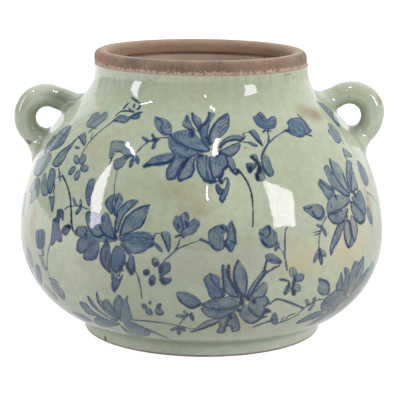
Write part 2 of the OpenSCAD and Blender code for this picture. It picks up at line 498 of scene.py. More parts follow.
@dataclass(frozen=True)
class Celadon:
    """Thick grey-green glaze, finely crazed, with warm stains and small pits.

    It ends raggedly on the bare clay at clay_top, give or take waver, and is
    wiped off the foot below clay_foot. It lies thick in the cove above the foot,
    from cove_rise to cove_fall, and runs down the neck, from neck_runs. Heights
    are in millimetres.

    The paint attribute gives a mark's distance, fill and ink. The last fields say
    how these show: the wash and its hairs, then a line's halo and its core.
    """

    name: str
    brush: Brush = Brush.NONE
    green: Colour = srgb("AFB99A")
    pale: Colour = srgb("C1C9AC")
    stain: Colour = srgb("B8B08F")
    warm: Colour = srgb("A39172")
    deep: Colour = srgb("7E9077")
    wash: Colour = srgb("3B5B79")
    line: Colour = srgb("20406A")
    navy: Colour = srgb("0A2241")
    clay: BareClay = BareClay()
    roughness: float = 0.04
    specular: float = 0.5
    ior: float = 1.55
    under: tuple[Spot, ...] = ()
    spots: tuple[Spot, ...] = ()
    clay_top: float = 190.0
    clay_foot: float = 1.3
    waver: float = 2.0
    waver_noise: Triple = (320.0, 5.0, 0.65)
    thin_share: float = 0.6
    cove_rise: Pair = (5.5, 9.5)
    cove_fall: Band = (10.5, 20.5, 0.42, 0.0)
    neck_runs: Pair = (160.0, 184.0)
    pool_and_shade_share: float = 0.0
    stain_share: float = 0.7
    drift: Cloud = Cloud(9.0, 3.0, 0.35, 0.65)
    stains: Cloud = Cloud(24.0, 4.0, 0.56, 0.74, rough=0.55)
    warm_noise: Triple = (95.0, 5.0, 0.6)
    warm_band: Band = (0.06, 0.55, 0.0, 0.85)
    mottle: Cloud = Cloud(180.0, 3.0, 0.3, 0.7, 0.95, 1.05)
    crazing: float = 150.0
    crazed: Band = (0.012, 0.05, 0.13, 0.0)
    pits: float = 260.0
    pitted: Band = (0.05, 0.11, 0.6, 0.0)
    few: Cloud = Cloud(30.0, 2.0, 0.52, 0.62)
    runs: Cloud = Cloud(330.0, 3.0, 0.52, 0.66, 0.0, 0.19, rough=0.6)
    runs_upright: Triple = (1.0, 1.0, 0.07)
    thin_blue: Cloud = Cloud(130.0, 3.0, 0.3, 0.7, 0.82, 1.08)
    hairs: Cloud = Cloud(560.0, 4.0, 0.3, 0.7, 0.82, 1.12, rough=0.65)
    densest: float = 0.97
    heavy: Band = (1.0, 2.0, 0.0, 0.9)
    wobble: Cloud = Cloud(480.0, 4.0, 0.25, 0.75, -0.36, 0.36, rough=0.6)
    halo: Band = (0.9, 2.3, 0.4, 0.0)
    drawn: Band = (0.45, 1.65, 0.98, 0.0)
    inked: Band = (0.0, 0.5, 0.4, 1.0)
    grains: Cloud = Cloud(1100.0, 3.0, 0.4, 0.6, rough=0.6)
    flow: Relief = Relief(16.0, 2.0, 0.0016)
    skin: Relief = Relief(210.0, 2.0, 0.00005)
    beads: Relief = Relief(300.0, 3.0, 0.0011)
    edge_depth: float = 0.0003

    def _glaze(self, nodes: Nodes, place: Socket) -> Socket:
        """Returns the glaze's own colour."""
        tone = nodes.mix(nodes.cloud(place, self.drift), self.green, self.pale)
        stains = nodes.times(nodes.cloud(place, self.stains), self.stain_share)
        tone = nodes.mix(stains, tone, self.stain)
        if self.brush is Brush.COBALT:
            warm = nodes.times(nodes.stored("stain"), nodes.noise(place, *self.warm_noise))
            tone = nodes.mix(nodes.band(warm, *self.warm_band), tone, self.warm)
        tone = nodes.shaded(tone, nodes.cloud(place, self.mottle))
        crazing = {"Vector": place, "Scale": self.crazing, "Randomness": 1.0}
        cells = nodes.add("TexVoronoi", crazing, feature="DISTANCE_TO_EDGE").outputs["Distance"]
        tone = nodes.mix(nodes.band(cells, *self.crazed), tone, self.deep)
        pits = nodes.add("TexVoronoi", {"Vector": place, "Scale": self.pits}).outputs["Distance"]
        pits = nodes.times(nodes.band(pits, *self.pitted), nodes.cloud(place, self.few))
        tone = nodes.mix(pits, tone, self.clay.dark)
        runs = nodes.cloud(nodes.stretch(place, self.runs_upright), self.runs)
        runs = nodes.times(runs, nodes.rise(nodes.part(place, "Z"), *self.neck_runs))
        return nodes.mix(runs, tone, self.deep)

    def _paint(self, nodes: Nodes, place: Socket, glaze: Socket) -> Socket:
        """Returns the glaze with the brushwork that the paint attribute holds."""
        held = nodes.stored("paint", "Vector")
        edge, fill, ink = (nodes.part(held, axis) for axis in "XYZ")
        body = nodes.times(nodes.math("MINIMUM", fill, 1.0), nodes.cloud(place, self.thin_blue))
        body = nodes.times(body, nodes.cloud(place, self.hairs))
        tone = nodes.mix(nodes.math("MINIMUM", body, self.densest), glaze, self.wash)
        tone = nodes.mix(nodes.band(fill, *self.heavy), tone, self.navy)
        ragged = nodes.math("ADD", edge, nodes.cloud(place, self.wobble))
        tone = nodes.mix(nodes.band(ragged, *self.halo), tone, self.wash)
        drawn = nodes.times(nodes.band(ragged, *self.drawn), nodes.band(ink, *self.inked))
        return nodes.mix(drawn, tone, nodes.mix(ink, self.line, self.navy))

    def _thick(self, nodes: Nodes, height: Socket, tone: Socket) -> Socket:
        """Returns the glaze's colour with the deep green of its thick places and, on the ears,
        painted shade inside the loops.
        """
        rise = nodes.rise(height, *self.cove_rise)
        cove = nodes.times(rise, nodes.rise(height, *self.cove_fall))
        tone = nodes.mix(cove, tone, self.deep)
        # On the ears a stored share adds thick glaze, and painted shade inside the loops.
        if self.pool_and_shade_share:
            pooled = nodes.times(nodes.stored("pool_and_shade"), self.pool_and_shade_share)
            tone = nodes.mix(pooled, tone, self.deep)
        return tone

    def material(self) -> bpy.types.Material:
        """Builds the material."""
        material = bpy.data.materials.new(self.name)
        nodes = Nodes(material)
        place = nodes.place()
        height = nodes.part(place, "Z")
        tone = nodes.spotted(place, self.under, self._glaze(nodes, place))
        if self.brush is Brush.COBALT:
            tone = self._paint(nodes, place, tone)
        tone = nodes.spotted(place, self.spots, self._thick(nodes, height, tone))
        waver = nodes.times(nodes.noise(place, *self.waver_noise), 2 * self.waver * MM)
        level = nodes.math("ADD", height, nodes.math("SUBTRACT", waver, self.waver * MM))
        top, foot = self.clay_top, self.clay_foot
        thin = nodes.rise(level, top - 2.0, top - 0.2, 0.0, self.thin_share)
        tone = nodes.mix(thin, tone, self.clay.cream)
        neck = nodes.rise(level, top - 0.3, top + 0.3)
        cream = nodes.mix(nodes.cloud(place, self.grains), self.clay.fleck, self.clay.cream)
        tone = nodes.mix(neck, tone, cream)
        wiped = nodes.rise(height, foot, foot + 0.6, 1.0, 0.0)
        tone = nodes.mix(wiped, tone, self.clay.colour(nodes, place))
        bare = nodes.most(neck, wiped)
        rough = nodes.band(bare, 0.0, 1.0, self.roughness, self.clay.roughness)
        skin = nodes.relief(place, self.skin, nodes.relief(place, self.flow))
        if self.pool_and_shade_share:
            lumps = nodes.noise(place, self.beads.scale, self.beads.detail)
            skin = nodes.bump(nodes.times(nodes.stored("beads"), lumps), self.beads.depth, skin)
        normal = nodes.bump(bare, self.edge_depth, skin)
        finish = {"Base Color": tone, "Roughness": rough, "IOR": self.ior, "Normal": normal}
        nodes.surface({**finish, "Specular IOR Level": self.specular})
        return material


# ------------------------------------------------------------- mesh handling


def put(name: str, bm: bmesh.types.BMesh, materials: list[bpy.types.Material]) -> bpy.types.Object:
    """Turns a bmesh, which is freed here, into an object of the scene."""
    mesh = bpy.data.meshes.new(name)
    bm.to_mesh(mesh)
    bm.free()
    for material in materials:
        mesh.materials.append(material)
    made = bpy.data.objects.new(name, mesh)
    bpy.context.scene.collection.objects.link(made)
    return made


def store(mesh: bpy.types.Mesh, name: str, values: np.ndarray) -> None:
    """Stores a value, or a row of three, at each vertex of a mesh."""
    three = values.ndim > 1
    held = mesh.attributes.new(name, "FLOAT_VECTOR" if three else "FLOAT", "POINT")
    held.data.foreach_set("vector" if three else "value", values.astype(np.float32).ravel())


def finish_piece(
    bm: bmesh.types.BMesh,
    name: str,
    materials: list[bpy.types.Material],
    nodes: tuple[str, ...],
    outline: JarOutline,
) -> bpy.types.Object:
    """Turns a bmesh in millimetres into a finished piece of the pot.

    Args:
        bm: The shape, which is freed here.
        name: Name of the piece.
        materials: Its materials, by the faces' material index.
        nodes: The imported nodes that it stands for.
        outline: The pot's outline, which gives the lean.

    Returns:
        The new object.
    """
    bmesh.ops.remove_doubles(bm, verts=bm.verts, dist=1e-4)
    bmesh.ops.recalc_face_normals(bm, faces=bm.faces)
    lean = Matrix.Identity(4)
    lean[0][2] = outline.lean
    lean[0][3] = -outline.lean * outline.pot_h / 2
    bmesh.ops.transform(bm, matrix=Matrix.Scale(MM, 4) @ lean, verts=bm.verts)
    for face in bm.faces:
        face.smooth = True
    piece = put(name, bm, materials)
    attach(piece, "root")
    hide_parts(*nodes)
    LOG.info("%s: %d faces", name, len(piece.data.polygons))
    return piece


def turned_solid(loop: list[Pair], sectors: int, cuts: int) -> bmesh.types.BMesh:
    """Turns a closed loop about the axis, as on a wheel.

    The loop is spun in a few wide sectors, whose rings are then subdivided and
    brought back to true circles, which is far quicker than a fine spin.

    Args:
        loop: Points of the closed loop, radius and height.
        sectors: Number of wide sectors.
        cuts: Cuts in each sector.

    Returns:
        The turned bmesh, in millimetres.
    """
    bm = bmesh.new()
    verts = [bm.verts.new((radius, 0.0, height)) for radius, height in loop]
    edges = [bm.edges.new(pair) for pair in zip(verts, verts[1:] + verts[:1])]
    bmesh.ops.spin(
        bm,
        geom=verts + edges,
        cent=(0, 0, 0),
        axis=(0, 0, 1),
        dvec=(0, 0, 0),
        angle=math.tau,
        steps=sectors,
        use_merge=True,
        use_normal_flip=False,
        use_duplicate=False,
    )
    if cuts:
        rings = [e for e in bm.edges if _runs_round(e)]
        bmesh.ops.subdivide_edges(bm, edges=rings, cuts=cuts, use_grid_fill=False)
        _round_out(bm, sectors)
    return bm


def _runs_round(edge: bmesh.types.BMEdge) -> bool:
    """Tells an edge of a ring from one of the outline."""
    first, second = (v.co for v in edge.verts)
    turned = first.x * second.y - first.y * second.x
    return abs(turned) > 1.0


def _round_out(bm: bmesh.types.BMesh, sectors: int) -> None:
    """Moves the points of straight ring sides out to the true circle."""
    sector = math.tau / sectors
    flat = math.cos(sector / 2)
    for v in bm.verts:
        angle = math.atan2(v.co.y, v.co.x) % sector - sector / 2
        grow = math.cos(angle) / flat
        v.co.x *= grow
        v.co.y *= grow


def vertices_mm(mesh: bpy.types.Mesh, outline: JarOutline) -> np.ndarray:
    """Returns a mesh's vertices in millimetres, with the lean taken out."""
    co = np.zeros(len(mesh.vertices) * 3, np.float32)
    mesh.vertices.foreach_get("co", co)
    co = co.reshape(-1, 3).astype(float) / MM
    co[:, 0] -= outline.middle_at(co[:, 2])
    return co


# ------------------------------------------------------------------ the camera


@dataclass(frozen=True)
class PhotoCamera:
    """The camera that took the photograph, as fitted to the pot's outline.

    Lengths are in millimetres, and pixels are those of a 400 pixel square.
    """

    distance: float = 1112.5
    height: float = 321.0
    tilt: float = 11.70
    roll: float = 0.56
    focal: float = 1589.0
    centre: Pair = (201.22, 200.5)
    frame: float = 400.0
    sensor: float = 36.0
    nearest: float = 160.0
    beyond: float = 20.0
    samples: int = 361
    missed: float = 1e3

    def rays(self, pixels: np.ndarray) -> tuple[np.ndarray, np.ndarray]:
        """Returns the camera's place and one direction for each pixel."""
        offset = pixels - np.array(self.centre)
        c, s = math.cos(math.radians(self.roll)), math.sin(math.radians(self.roll))
        across = offset[:, 0] * c + offset[:, 1] * s
        down = -offset[:, 0] * s + offset[:, 1] * c
        t = math.radians(self.tilt)
        ahead = np.array([0.0, math.cos(t), -math.sin(t)])
        above = np.array([0.0, math.sin(t), math.cos(t)])
        right = np.array([1.0, 0.0, 0.0])
        ray = self.focal * ahead + across[:, None] * right - down[:, None] * above
        ray /= np.linalg.norm(ray, axis=1)[:, None]
        return np.array([0.0, -self.distance, self.height]), ray

    def fall(
        self, outline: JarOutline, pixels: np.ndarray
    ) -> tuple[np.ndarray, np.ndarray, np.ndarray]:
        """Finds where pixels of the photograph fall on the pot's outer face.

        Args:
            outline: The pot's outline.
            pixels: A row for each pixel; one beside the pot goes to its edge.

        Returns:
            The angle round the pot, the length up the face, and the radius.
        """
        eye, ray = self.rays(pixels)
        far = np.linspace(self.distance - self.nearest, self.distance + self.beyond, self.samples)
        spots = eye + ray[:, None, :] * far[None, :, None]
        height = spots[..., 2]
        across = spots[..., 0] - outline.middle_at(height)
        clear = np.hypot(across, spots[..., 1]) - outline.radius_at(height)
        clear[(height < outline.base_lift + 1) | (height > outline.neck_top)] = self.missed
        touched = (clear < 0).any(axis=1)
        at = np.where(touched, (clear < 0).argmax(axis=1), clear.argmin(axis=1))
        rows = np.arange(len(pixels))
        before = clear[rows, np.maximum(at - 1, 0)]
        between = before / (before - clear[rows, at] + 1e-9)
        share = np.where(touched & (before < self.missed), between, 1.0)
        depth = far[np.maximum(at - 1, 0)] + share * (far[1] - far[0])
        hit = eye + ray * depth[:, None]
        turn = np.arctan2(hit[:, 0] - outline.middle_at(hit[:, 2]), -hit[:, 1])
        return turn, outline.length_at(hit[:, 2]), outline.radius_at(hit[:, 2])

    def build(self) -> bpy.types.Object:
        """Makes the scene's camera."""
        data = bpy.data.cameras.new("photo_camera")
        data.sensor_width = self.sensor
        data.lens = self.focal / self.frame * self.sensor
        half = self.frame / 2
        data.shift_x = (half - self.centre[0]) / self.frame
        data.shift_y = (self.centre[1] - half) / self.frame
        camera = bpy.data.objects.new("photo_camera", data)
        camera.location = (0.0, -self.distance * MM, self.height * MM)
        turn = Matrix.Rotation(math.radians(90.0 - self.tilt), 4, "X")
        spin = Matrix.Rotation(math.radians(self.roll), 4, "Z")
        camera.matrix_world = Matrix.Translation(camera.location) @ turn @ spin
        bpy.context.scene.collection.objects.link(camera)
        bpy.context.scene.camera = camera
        return camera


# ------------------------------------------------------------- the brushwork


def flowing(points: np.ndarray, closed: bool, steps: int = 4) -> np.ndarray:
    """Runs a smooth curve through points.

    Args:
        points: Two columns, x and y.
        closed: Whether the curve returns to its first point.
        steps: Points for each given one.

    Returns:
        The curve's points.
    """
    if closed:
        around = np.concatenate([points[-1:], points, points[:2]])
    else:
        before, after = 2 * points[:1] - points[1:2], 2 * points[-1:] - points[-2:-1]
        around = np.concatenate([before, points, after])
    a, b, c, d = (around[i : len(around) - 3 + i, None, :] for i in range(4))
    t = (np.arange(steps) / steps)[None, :, None]
    bend = 2 * b + (c - a) * t + (2 * a - 5 * b + 4 * c - d) * t**2 + (3 * b - a - 3 * c + d) * t**3
    curve = 0.5 * bend.reshape(-1, 2)
    return curve if closed else np.concatenate([curve, points[-1:]])


THIN_INK = 0.35


@dataclass(frozen=True)
class Stroke:
    """A brush line through points of the drawing, from its first width to its last."""

    points: np.ndarray
    width: float
    end: float
    ink: float = THIN_INK

    def curve(self) -> np.ndarray:
        """Returns the line's points."""
        return flowing(self.points, closed=False)


@dataclass(frozen=True)
class Wash:
    """A closed patch of thin blue with a brush line round it."""

    points: np.ndarray
    tone: float
    line: float
    ink: float = THIN_INK

    def curve(self) -> np.ndarray:
        """Returns the outline's points."""
        return flowing(self.points, closed=True)


@dataclass(frozen=True)
class Petal:
    """A small leaf or dab between two points, fattest near its middle."""

    points: np.ndarray
    width: float
    tone: float
    line: float
    ink: float = THIN_INK

    def curve(self) -> np.ndarray:
        """Returns the outline's points."""
        start, tip = self.points
        along = tip - start
        across = np.array([-along[1], along[0]]) / math.hypot(*along)
        share = np.linspace(0.0, 1.0, 9)[:, None]
        spread = np.sqrt(np.sin(math.pi * share.clip(0.0, 1.0))) * self.width / 2
        one_side = start + along * share + across * spread
        other_side = start + along * share - across * spread
        return np.concatenate([one_side, other_side[-2:0:-1]])


@dataclass(frozen=True)
class Stain:
    """A soft warm stain under the glaze."""

    centre: Pair
    size: Pair
    strength: float = 0.8


Mark = Stroke | Wash | Petal
KINDS = {"stroke": Stroke, "wash": Wash, "petal": Petal}


def read_marks(text: str) -> tuple[Mark, ...]:
    """Reads marks, each written as its kind, its sizes and then its points.

    Args:
        text: Words such as "stroke 1.5 0.9 0.8 12,30 14,33".

    Returns:
        The marks, in brush order.
    """
    found: list[tuple[type, list[float], list[list[float]]]] = []
    for word in text.split():
        if word in KINDS:
            found.append((KINDS[word], [], []))
        elif "," in word:
            found[-1][2].append([float(part) for part in word.split(",")])
        else:
            found[-1][1].append(float(word))
    return tuple(kind(np.array(points), *sizes) for kind, sizes, points in found)


# Sprays that stand once more under each ear, and how far round they are turned
SIDE_SPRAYS: dict[str, float] = {"centre_buds": 1.667, "lower_sprigs": 1.93}

# The drawing's points are in pixels of the photograph. A stroke is given its
# first width and last width, a wash its tone and line, and a petal its width,
# tone and line. Each may be given its ink too, where it isn't thin.
SPRAYS: dict[str, str] = {
    "tulip_bud": """
    stroke 0.9 1.2 0.65 81.5,154.5 89,142.5 96.5,134.5 105.5,127 114,120.5
    wash 1.05 0.9 113.5,120.5 118.5,116 123,115 127.5,116.5 130.5,118.5 127.5,121 124.5,122.5
      119.5,122
    wash 1.45 0.9 129.5,117.5 134,114 139,112 142.5,112 139.5,114.5 139.5,117 138,118.5 134,119
    stroke 2.7 1.2 0.45 130,117.5 135,114.5 142,112.3
    stroke 1.4 2 0.8 116,115.5 121,111.5 125.5,111 133,111.5
    stroke 1.8 1.4 0.7 123.5,108.5 128,103.5
    stroke 1.4 2 0.65 132,97.8 136,100.8 139.3,103 140.3,106 137.8,109.2
    stroke 2 1.6 0.95 134.5,104.5 133.8,107.3
    stroke 1.5 1.4 0.7 129,108.5 130.5,110.3 133.5,112.5
    stroke 0.8 0.8 0.8 118.5,117.8 123,117 127,119
    stroke 1.6 1.2 112.5,121.5 117,120
    """,
    "left_bud": """
    wash 0.75 0.7 87,123 88,127 95.5,127 100,123.5 104.5,120 107.5,116 107.5,112 104.5,112
      100,115.5 98,113 94,113.5 90.5,117.5
    stroke 0.9 0.8 89.5,125.5 97,119.5 105.5,113.5
    stroke 0.7 0.7 92,122 97,116
    stroke 1.7 1.2 89,132.5 92.5,129 96,128.2
    stroke 0.8 0.8 0.4 93,132.5 90.5,139
    wash 0.85 0.7 79.5,136.5 82.5,133.5 85.5,132.5 85.8,139 84.5,145.5 82,143
    stroke 1.5 0.8 78.5,136.5 81.5,141 84.5,145.5
    petal 2.4 0.85 0.7 74.8,147.3 80,147.6
    """,
    "five_petals": """
    petal 5 0.75 0.9 77.5,164 75.3,155
    petal 5.6 0.8 0.9 80.3,164.3 85.3,154
    petal 4.8 1.1 0.9 75,166.5 69,174.5
    petal 7 0.95 0.9 80.5,169 88.3,167
    petal 4.8 0.8 1.1 0.4 79.3,170.5 75.2,180
    """,
    "small_flower": """
    wash 0.85 0.6 111.5,141.5 119,140.5 125,142.5 129.5,148 132.5,154.5 127.5,156.5 121,152.5
      114.5,151 111,158.5 109,156 110,149
    wash 1.1 0.7 131,155.5 126,155 120,158 115.5,159.5 114,162.5 114.5,168 117,169.5 123,166
      126.5,160.5
    stroke 1 1 0.5 109.5,164 112.5,157 116,152.5 121,151
    stroke 0.9 0.6 112,142.5 114.5,142
    stroke 0.7 0.6 117,142 121.5,141 125,143.5
    stroke 1.7 1.6 126,157.5 131,156 133.5,157
    petal 3.6 1.6 0.7 133.5,157.5 129.8,167.4
    petal 3.6 1.3 0.7 136.5,155 138,164.2
    stroke 0.7 0.9 117.6,170 114.6,184 114.4,195
    """,
    "cross_sprig": """
    stroke 1 1.4 0.4 136.3,153 140.2,148.6 145.3,144 150.5,140.6 154.5,139.3 160.5,138 168,137.4
    petal 2.8 1 0.9 0.4 149.5,141.2 141.5,137.2
    petal 2.4 1.55 0.9 0.65 154.8,139.6 152,133.8
    petal 3 1.35 0.9 156.3,140 152.3,149
    stroke 3.4 3.4 1 153,140.5 157,139.5
    """,
    "great_blossom": """
    wash 1 0.8 144.3,166 150,160 154.5,156.5 162,154 170,152.8 174.5,155.3 175.3,158.5 171.5,162.4
      161.5,164.3 150,165
    stroke 2.7 3.1 0.7 144.3,166.2 152,164.8 161.5,163.8 168.5,162.3 174.5,158.5
    stroke 0.7 0.6 158.5,157 158,160.5
    stroke 0.7 0.7 161.5,155.8 161,159.8
    stroke 0.7 0.6 164.5,155 164,158.8
    wash 0.95 1.3 175,157.8 172,163 167.5,168.5 166.4,174.5 168.4,179.2 175,177.7 178.5,170
      183,161.5 186,157.8
    wash 0.85 1.5 0.45 187.5,157.8 183,165.5 179.5,172.3 178.3,177.7 179.8,181 184.5,179.2
      190.5,176.2 193.5,170 193.6,163 196,157 192.8,156
    stroke 3.4 3.4 1 188.5,157.5 184.5,163 182,167
    stroke 1.4 1.2 167.5,178.5 171,178.8
    stroke 1.8 1.3 179.5,180.5 183,179.5
    wash 1 1.3 197.5,157 197,164.5 199,172.5 203.5,179.2 208,181.8 215,181.5 213.5,176 211.2,170
      209.3,163 209,157.5 203.5,154.5
    stroke 1 1.3 206.6,155.5 205.9,164.7 207,174 209,180
    wash 1 1.1 209.7,157 215,158 221,154 226.5,156.3 228,161.6 227.3,167 223.5,168.5 222,174
      217.3,177 213.5,177 210.8,170
    stroke 1.3 1.5 0.5 209.3,157.8 210.5,168.5 213,177.5
    stroke 2.4 2.8 0.5 204.5,180.5 209.5,182 215.5,181.5
    stroke 1.7 2.9 0.65 226.5,157 228,165.4 223.5,170 222,175.4 218.9,178.5 221.2,182.3
    stroke 3.4 3.4 1 216.5,155.5 219,152.8 221,152.5
    stroke 3.2 3.2 0.85 198.5,156 201,155.5
    wash 0.9 0.8 229,158.5 232.5,158.5 235,165.5 235.7,170 231,168.5 229,165.5
    stroke 2 2.6 0.7 223.5,169.3 228,166.2 232.5,171 236.3,174.6 237.5,170
    stroke 1.8 1 0.85 237,169.3 241.8,174 246.4,180.7 249.5,187.6 251.8,196 253,210 252.8,227
    wash 1.6 0.8 0.4 215.5,186 216.5,190.5 220,194.5 224.5,190 221,188.5 217.5,184.5
    wash 0.95 1.1 228.5,179 229.3,187 226,196 222,202 219.8,197 224,191 226.5,185
    stroke 2.1 1.2 220,176 221.5,181.5 226.5,177.5 227.8,180
    wash 1 0.6 170,134.3 183,130.2 193,132.5 199,138 203.6,143.3 209.7,150.3 199,150.5 188.3,147.5
      179,142.5 171,137
    stroke 0.7 0.6 175.5,134.5 175,137.5
    stroke 0.7 0.6 178.5,133.3 178,136.8
    stroke 0.7 0.7 182,132.5 181.5,136
    stroke 0.7 0.6 185.5,132.3 185,136
    stroke 0.7 0.6 188.7,132.8 188.4,136.3
    wash 1 1 169,137.3 168.4,142.5 170,148 175,154 184.5,157.8 193,155.6 199.7,152.6 206.6,151.7
      193,149.4 182,146.3 173,140.3
    stroke 2.1 1.7 0.45 169.5,134.5 174,139.5 182,144.5 193,149.3 201,150.8 208.5,151.2
    stroke 0.7 1.2 180,147.5 186,150.5 188,149.5
    wash 0.9 0.7 183,125.5 183.7,120.5 187.1,114.6 190,120.5 191.7,125.7 195,130.2 191.5,135.6
      188.3,129
    stroke 1.3 0.9 187,115.5 186.6,122.5
    stroke 1.1 1.5 1 183,125.5 188,128.8 192.5,130
    stroke 3.2 3.2 0.85 192.3,131.5 192,136
    wash 1 0.6 191.7,113.4 197.5,116.5 201,119.5 200.5,125 199,129.5 195,124
    wash 0.8 0.6 199.5,129.5 201.5,127.5 203.5,133.5 206.5,140.5 209,148.8 206,146 202,138.7
    stroke 1.6 1.9 0.45 192.2,113.2 193.2,121 198.5,129 202,138.7 205.5,144.5 209.5,149
    wash 1 0.6 209,113.8 215,114.4 211.3,120.5 208.3,128 206.7,137 203.7,138 201.3,130.2
      203.5,125.7
    stroke 2.4 2.8 0.7 209.2,112.8 207.8,120.5 201,127 198.8,130.2
    stroke 1 1.9 208.9,124.9 207,134 208,142
    stroke 3.4 3.4 1 207.5,137.5 208.5,141.5
    wash 0.9 1 0.4 227.4,113.8 229,120.3 228,128 223.5,134.2 219,138 215.8,141 211.2,143.5 209,138
      211.2,130.2 215,124.2 221.2,117.3
    stroke 1.9 2.4 0.55 227.6,113.8 219,119.3 212.7,127.2 209.7,134.2 209.3,139.4 209.9,145
    stroke 0.7 0.7 221,120.5 225.8,116.8
    stroke 0.7 0.7 219.5,124 227,119
    stroke 0.7 0.7 0.75 218,127.8 227.5,122.5
    stroke 0.7 0.6 219.5,132.5 227.3,126
    wash 0.85 0.9 0.65 220.4,143.5 226.5,138 234.2,135.2 241,135.8 242.6,138.8 234.2,140.2
      226.5,141.8 221,146.5
    wash 1 1.2 0.45 219,151 226.5,147.8 235,144 239.5,143.3 240,147 236.5,152.4 231,156 225,154.8
      220.4,151.8
    stroke 2.2 1.5 0.7 220,147.5 226.5,141.8 234.2,139.9 241.8,139.8 245,136.5
    stroke 0.8 1 0.7 238,141.5 243,142 248,142.5
    petal 2.8 1.05 0.9 247,141.9 257.3,145.9
    stroke 1 0.7 244.8,137.3 243.3,133.5 248.5,132.3 252,130
    wash 0.95 0.7 249.5,132 253.3,129.5 256.5,132 259.5,138 262,145.3 257,141 252.5,135.7
    stroke 1.8 1.9 0.8 249.5,131.8 256.4,139.4 262.3,145.4
    wash 1 0.8 155,116.7 160,118 165.3,119.5 170,123.4 171.8,130.2 168.8,134.6 163.8,134.6
      158.4,130.2 154.6,124
    stroke 1.5 1 155.7,117.3 161.5,121 162.3,124 160.8,128.5 164,132.5 169,134.5
    stroke 1 1 0.4 245.2,147.7 245.8,148
    """,
    "upper_right": """
    wash 1.3 1 253,117 256.6,115.3 260,112 264,115.7 267.4,119.9 271.5,116.6 275.7,117.4
      276.1,123.2 274,127.3 268.2,128.6 260.7,127.3 255.8,123.2
    stroke 1.1 1.5 256,117.6 261.6,120 267.4,122.4
    stroke 0.8 0.9 256,122.3 265,125.7 273,125.5
    stroke 1.8 2.1 1 258,114.5 263,118.5
    stroke 2 1.3 0.45 263.2,132 265.7,130.3 271.5,131.3
    stroke 1.3 1.8 0.4 267.8,131.5 268.7,138 268,143.1 264,150.6 262.3,155
    stroke 1.1 1.1 268,144 274.8,137.3 285,131
    wash 1.25 1.1 0.45 284.8,130.7 289,128.2 287.3,122.4 290.6,119 296.4,117.8 302.2,119
      306.3,125.7 311.3,130.7 306.3,134 300.5,137 293,134.8 288,132
    stroke 1.2 0.9 287.3,123.5 291.5,119.3 298,118.2
    stroke 1.6 2.4 1 297.2,114 303,119.9 307.7,126
    stroke 1.1 1.3 293,128.2 297,134 303,136.5
    stroke 1.2 0.7 305.5,128.8 312.3,130.7
    stroke 2 1.6 0.85 305.5,134 311.7,136
    stroke 2.8 1.9 0.75 285.5,130.5 290.5,130.8
    stroke 0.8 0.8 291.5,122.5 294,126.5 299,130.5
    stroke 1.1 1.3 0.6 300.5,122 303.5,127.5 304.5,132
    wash 0.7 1 251.3,154.7 255.8,154.9 257.6,160.5 255.5,161 252.5,158.5
    wash 1.45 0.8 246,163.8 251,163 256,165.5 253.3,169.6 250,173 247.8,169.6
    stroke 3.4 3.4 1 249.5,167.8 250.3,170
    wash 0.8 0.6 258,174.5 262.4,172.8 265,177 262.4,180.5 258,180.5 256,177.5
    wash 0.85 0.6 261.6,156.4 265.7,154.7 270,159.7 271.5,167 273.6,172 272.3,176 268.2,176
      264,171.3 262,165.5
    stroke 1.5 2.1 0.4 261.8,155.5 262,163 264.5,170.5 269.5,176
    stroke 3.4 3.4 1 252,157 256.5,161.5 260,167 260.5,171
    stroke 3.4 3.4 1 259.8,168 257,174.5 257.8,179
    stroke 1 0.7 257,179.3 262,180.8
    """,
    "by_right_ear": """
    wash 0.95 1 317,102 323,104 329.5,109 335.4,115.7 339.5,124 337.8,125.7 333,120 326.2,112.5
      320.4,105.8
    stroke 0.9 0.7 317,101.5 325,108 333,117.5 339,126 343.7,134 350.3,146.4 356,158
    wash 1 0.9 0.4 328,123.2 332,125 335.4,129 338.7,133 340.3,139.8 338.7,142.7 335.4,141.4
      332,136.5 328,131.5 329.6,128
    stroke 1.2 1.2 0.8 331,128 334.5,133 337.5,139
    stroke 1.8 0.8 0.55 340.3,138 344.5,145
    wash 0.85 0.9 0.65 342.4,148 347.8,151.4 352,156.4 347,156.3 344.5,154.5
    stroke 1.1 1.3 0.4 343,148.5 344.5,155.5 347.5,160.5
    wash 1.5 1.5 1 357,160.5 362,165.5 366,172 368.5,181.2 366,185.4 362.7,179.6 359.4,171.3
    stroke 2.3 1.8 0.8 359.5,163.5 363.5,172.5 366.8,184
    stroke 1.5 1.1 0.85 350,163 354,174 356.8,184 357.6,190
    """,
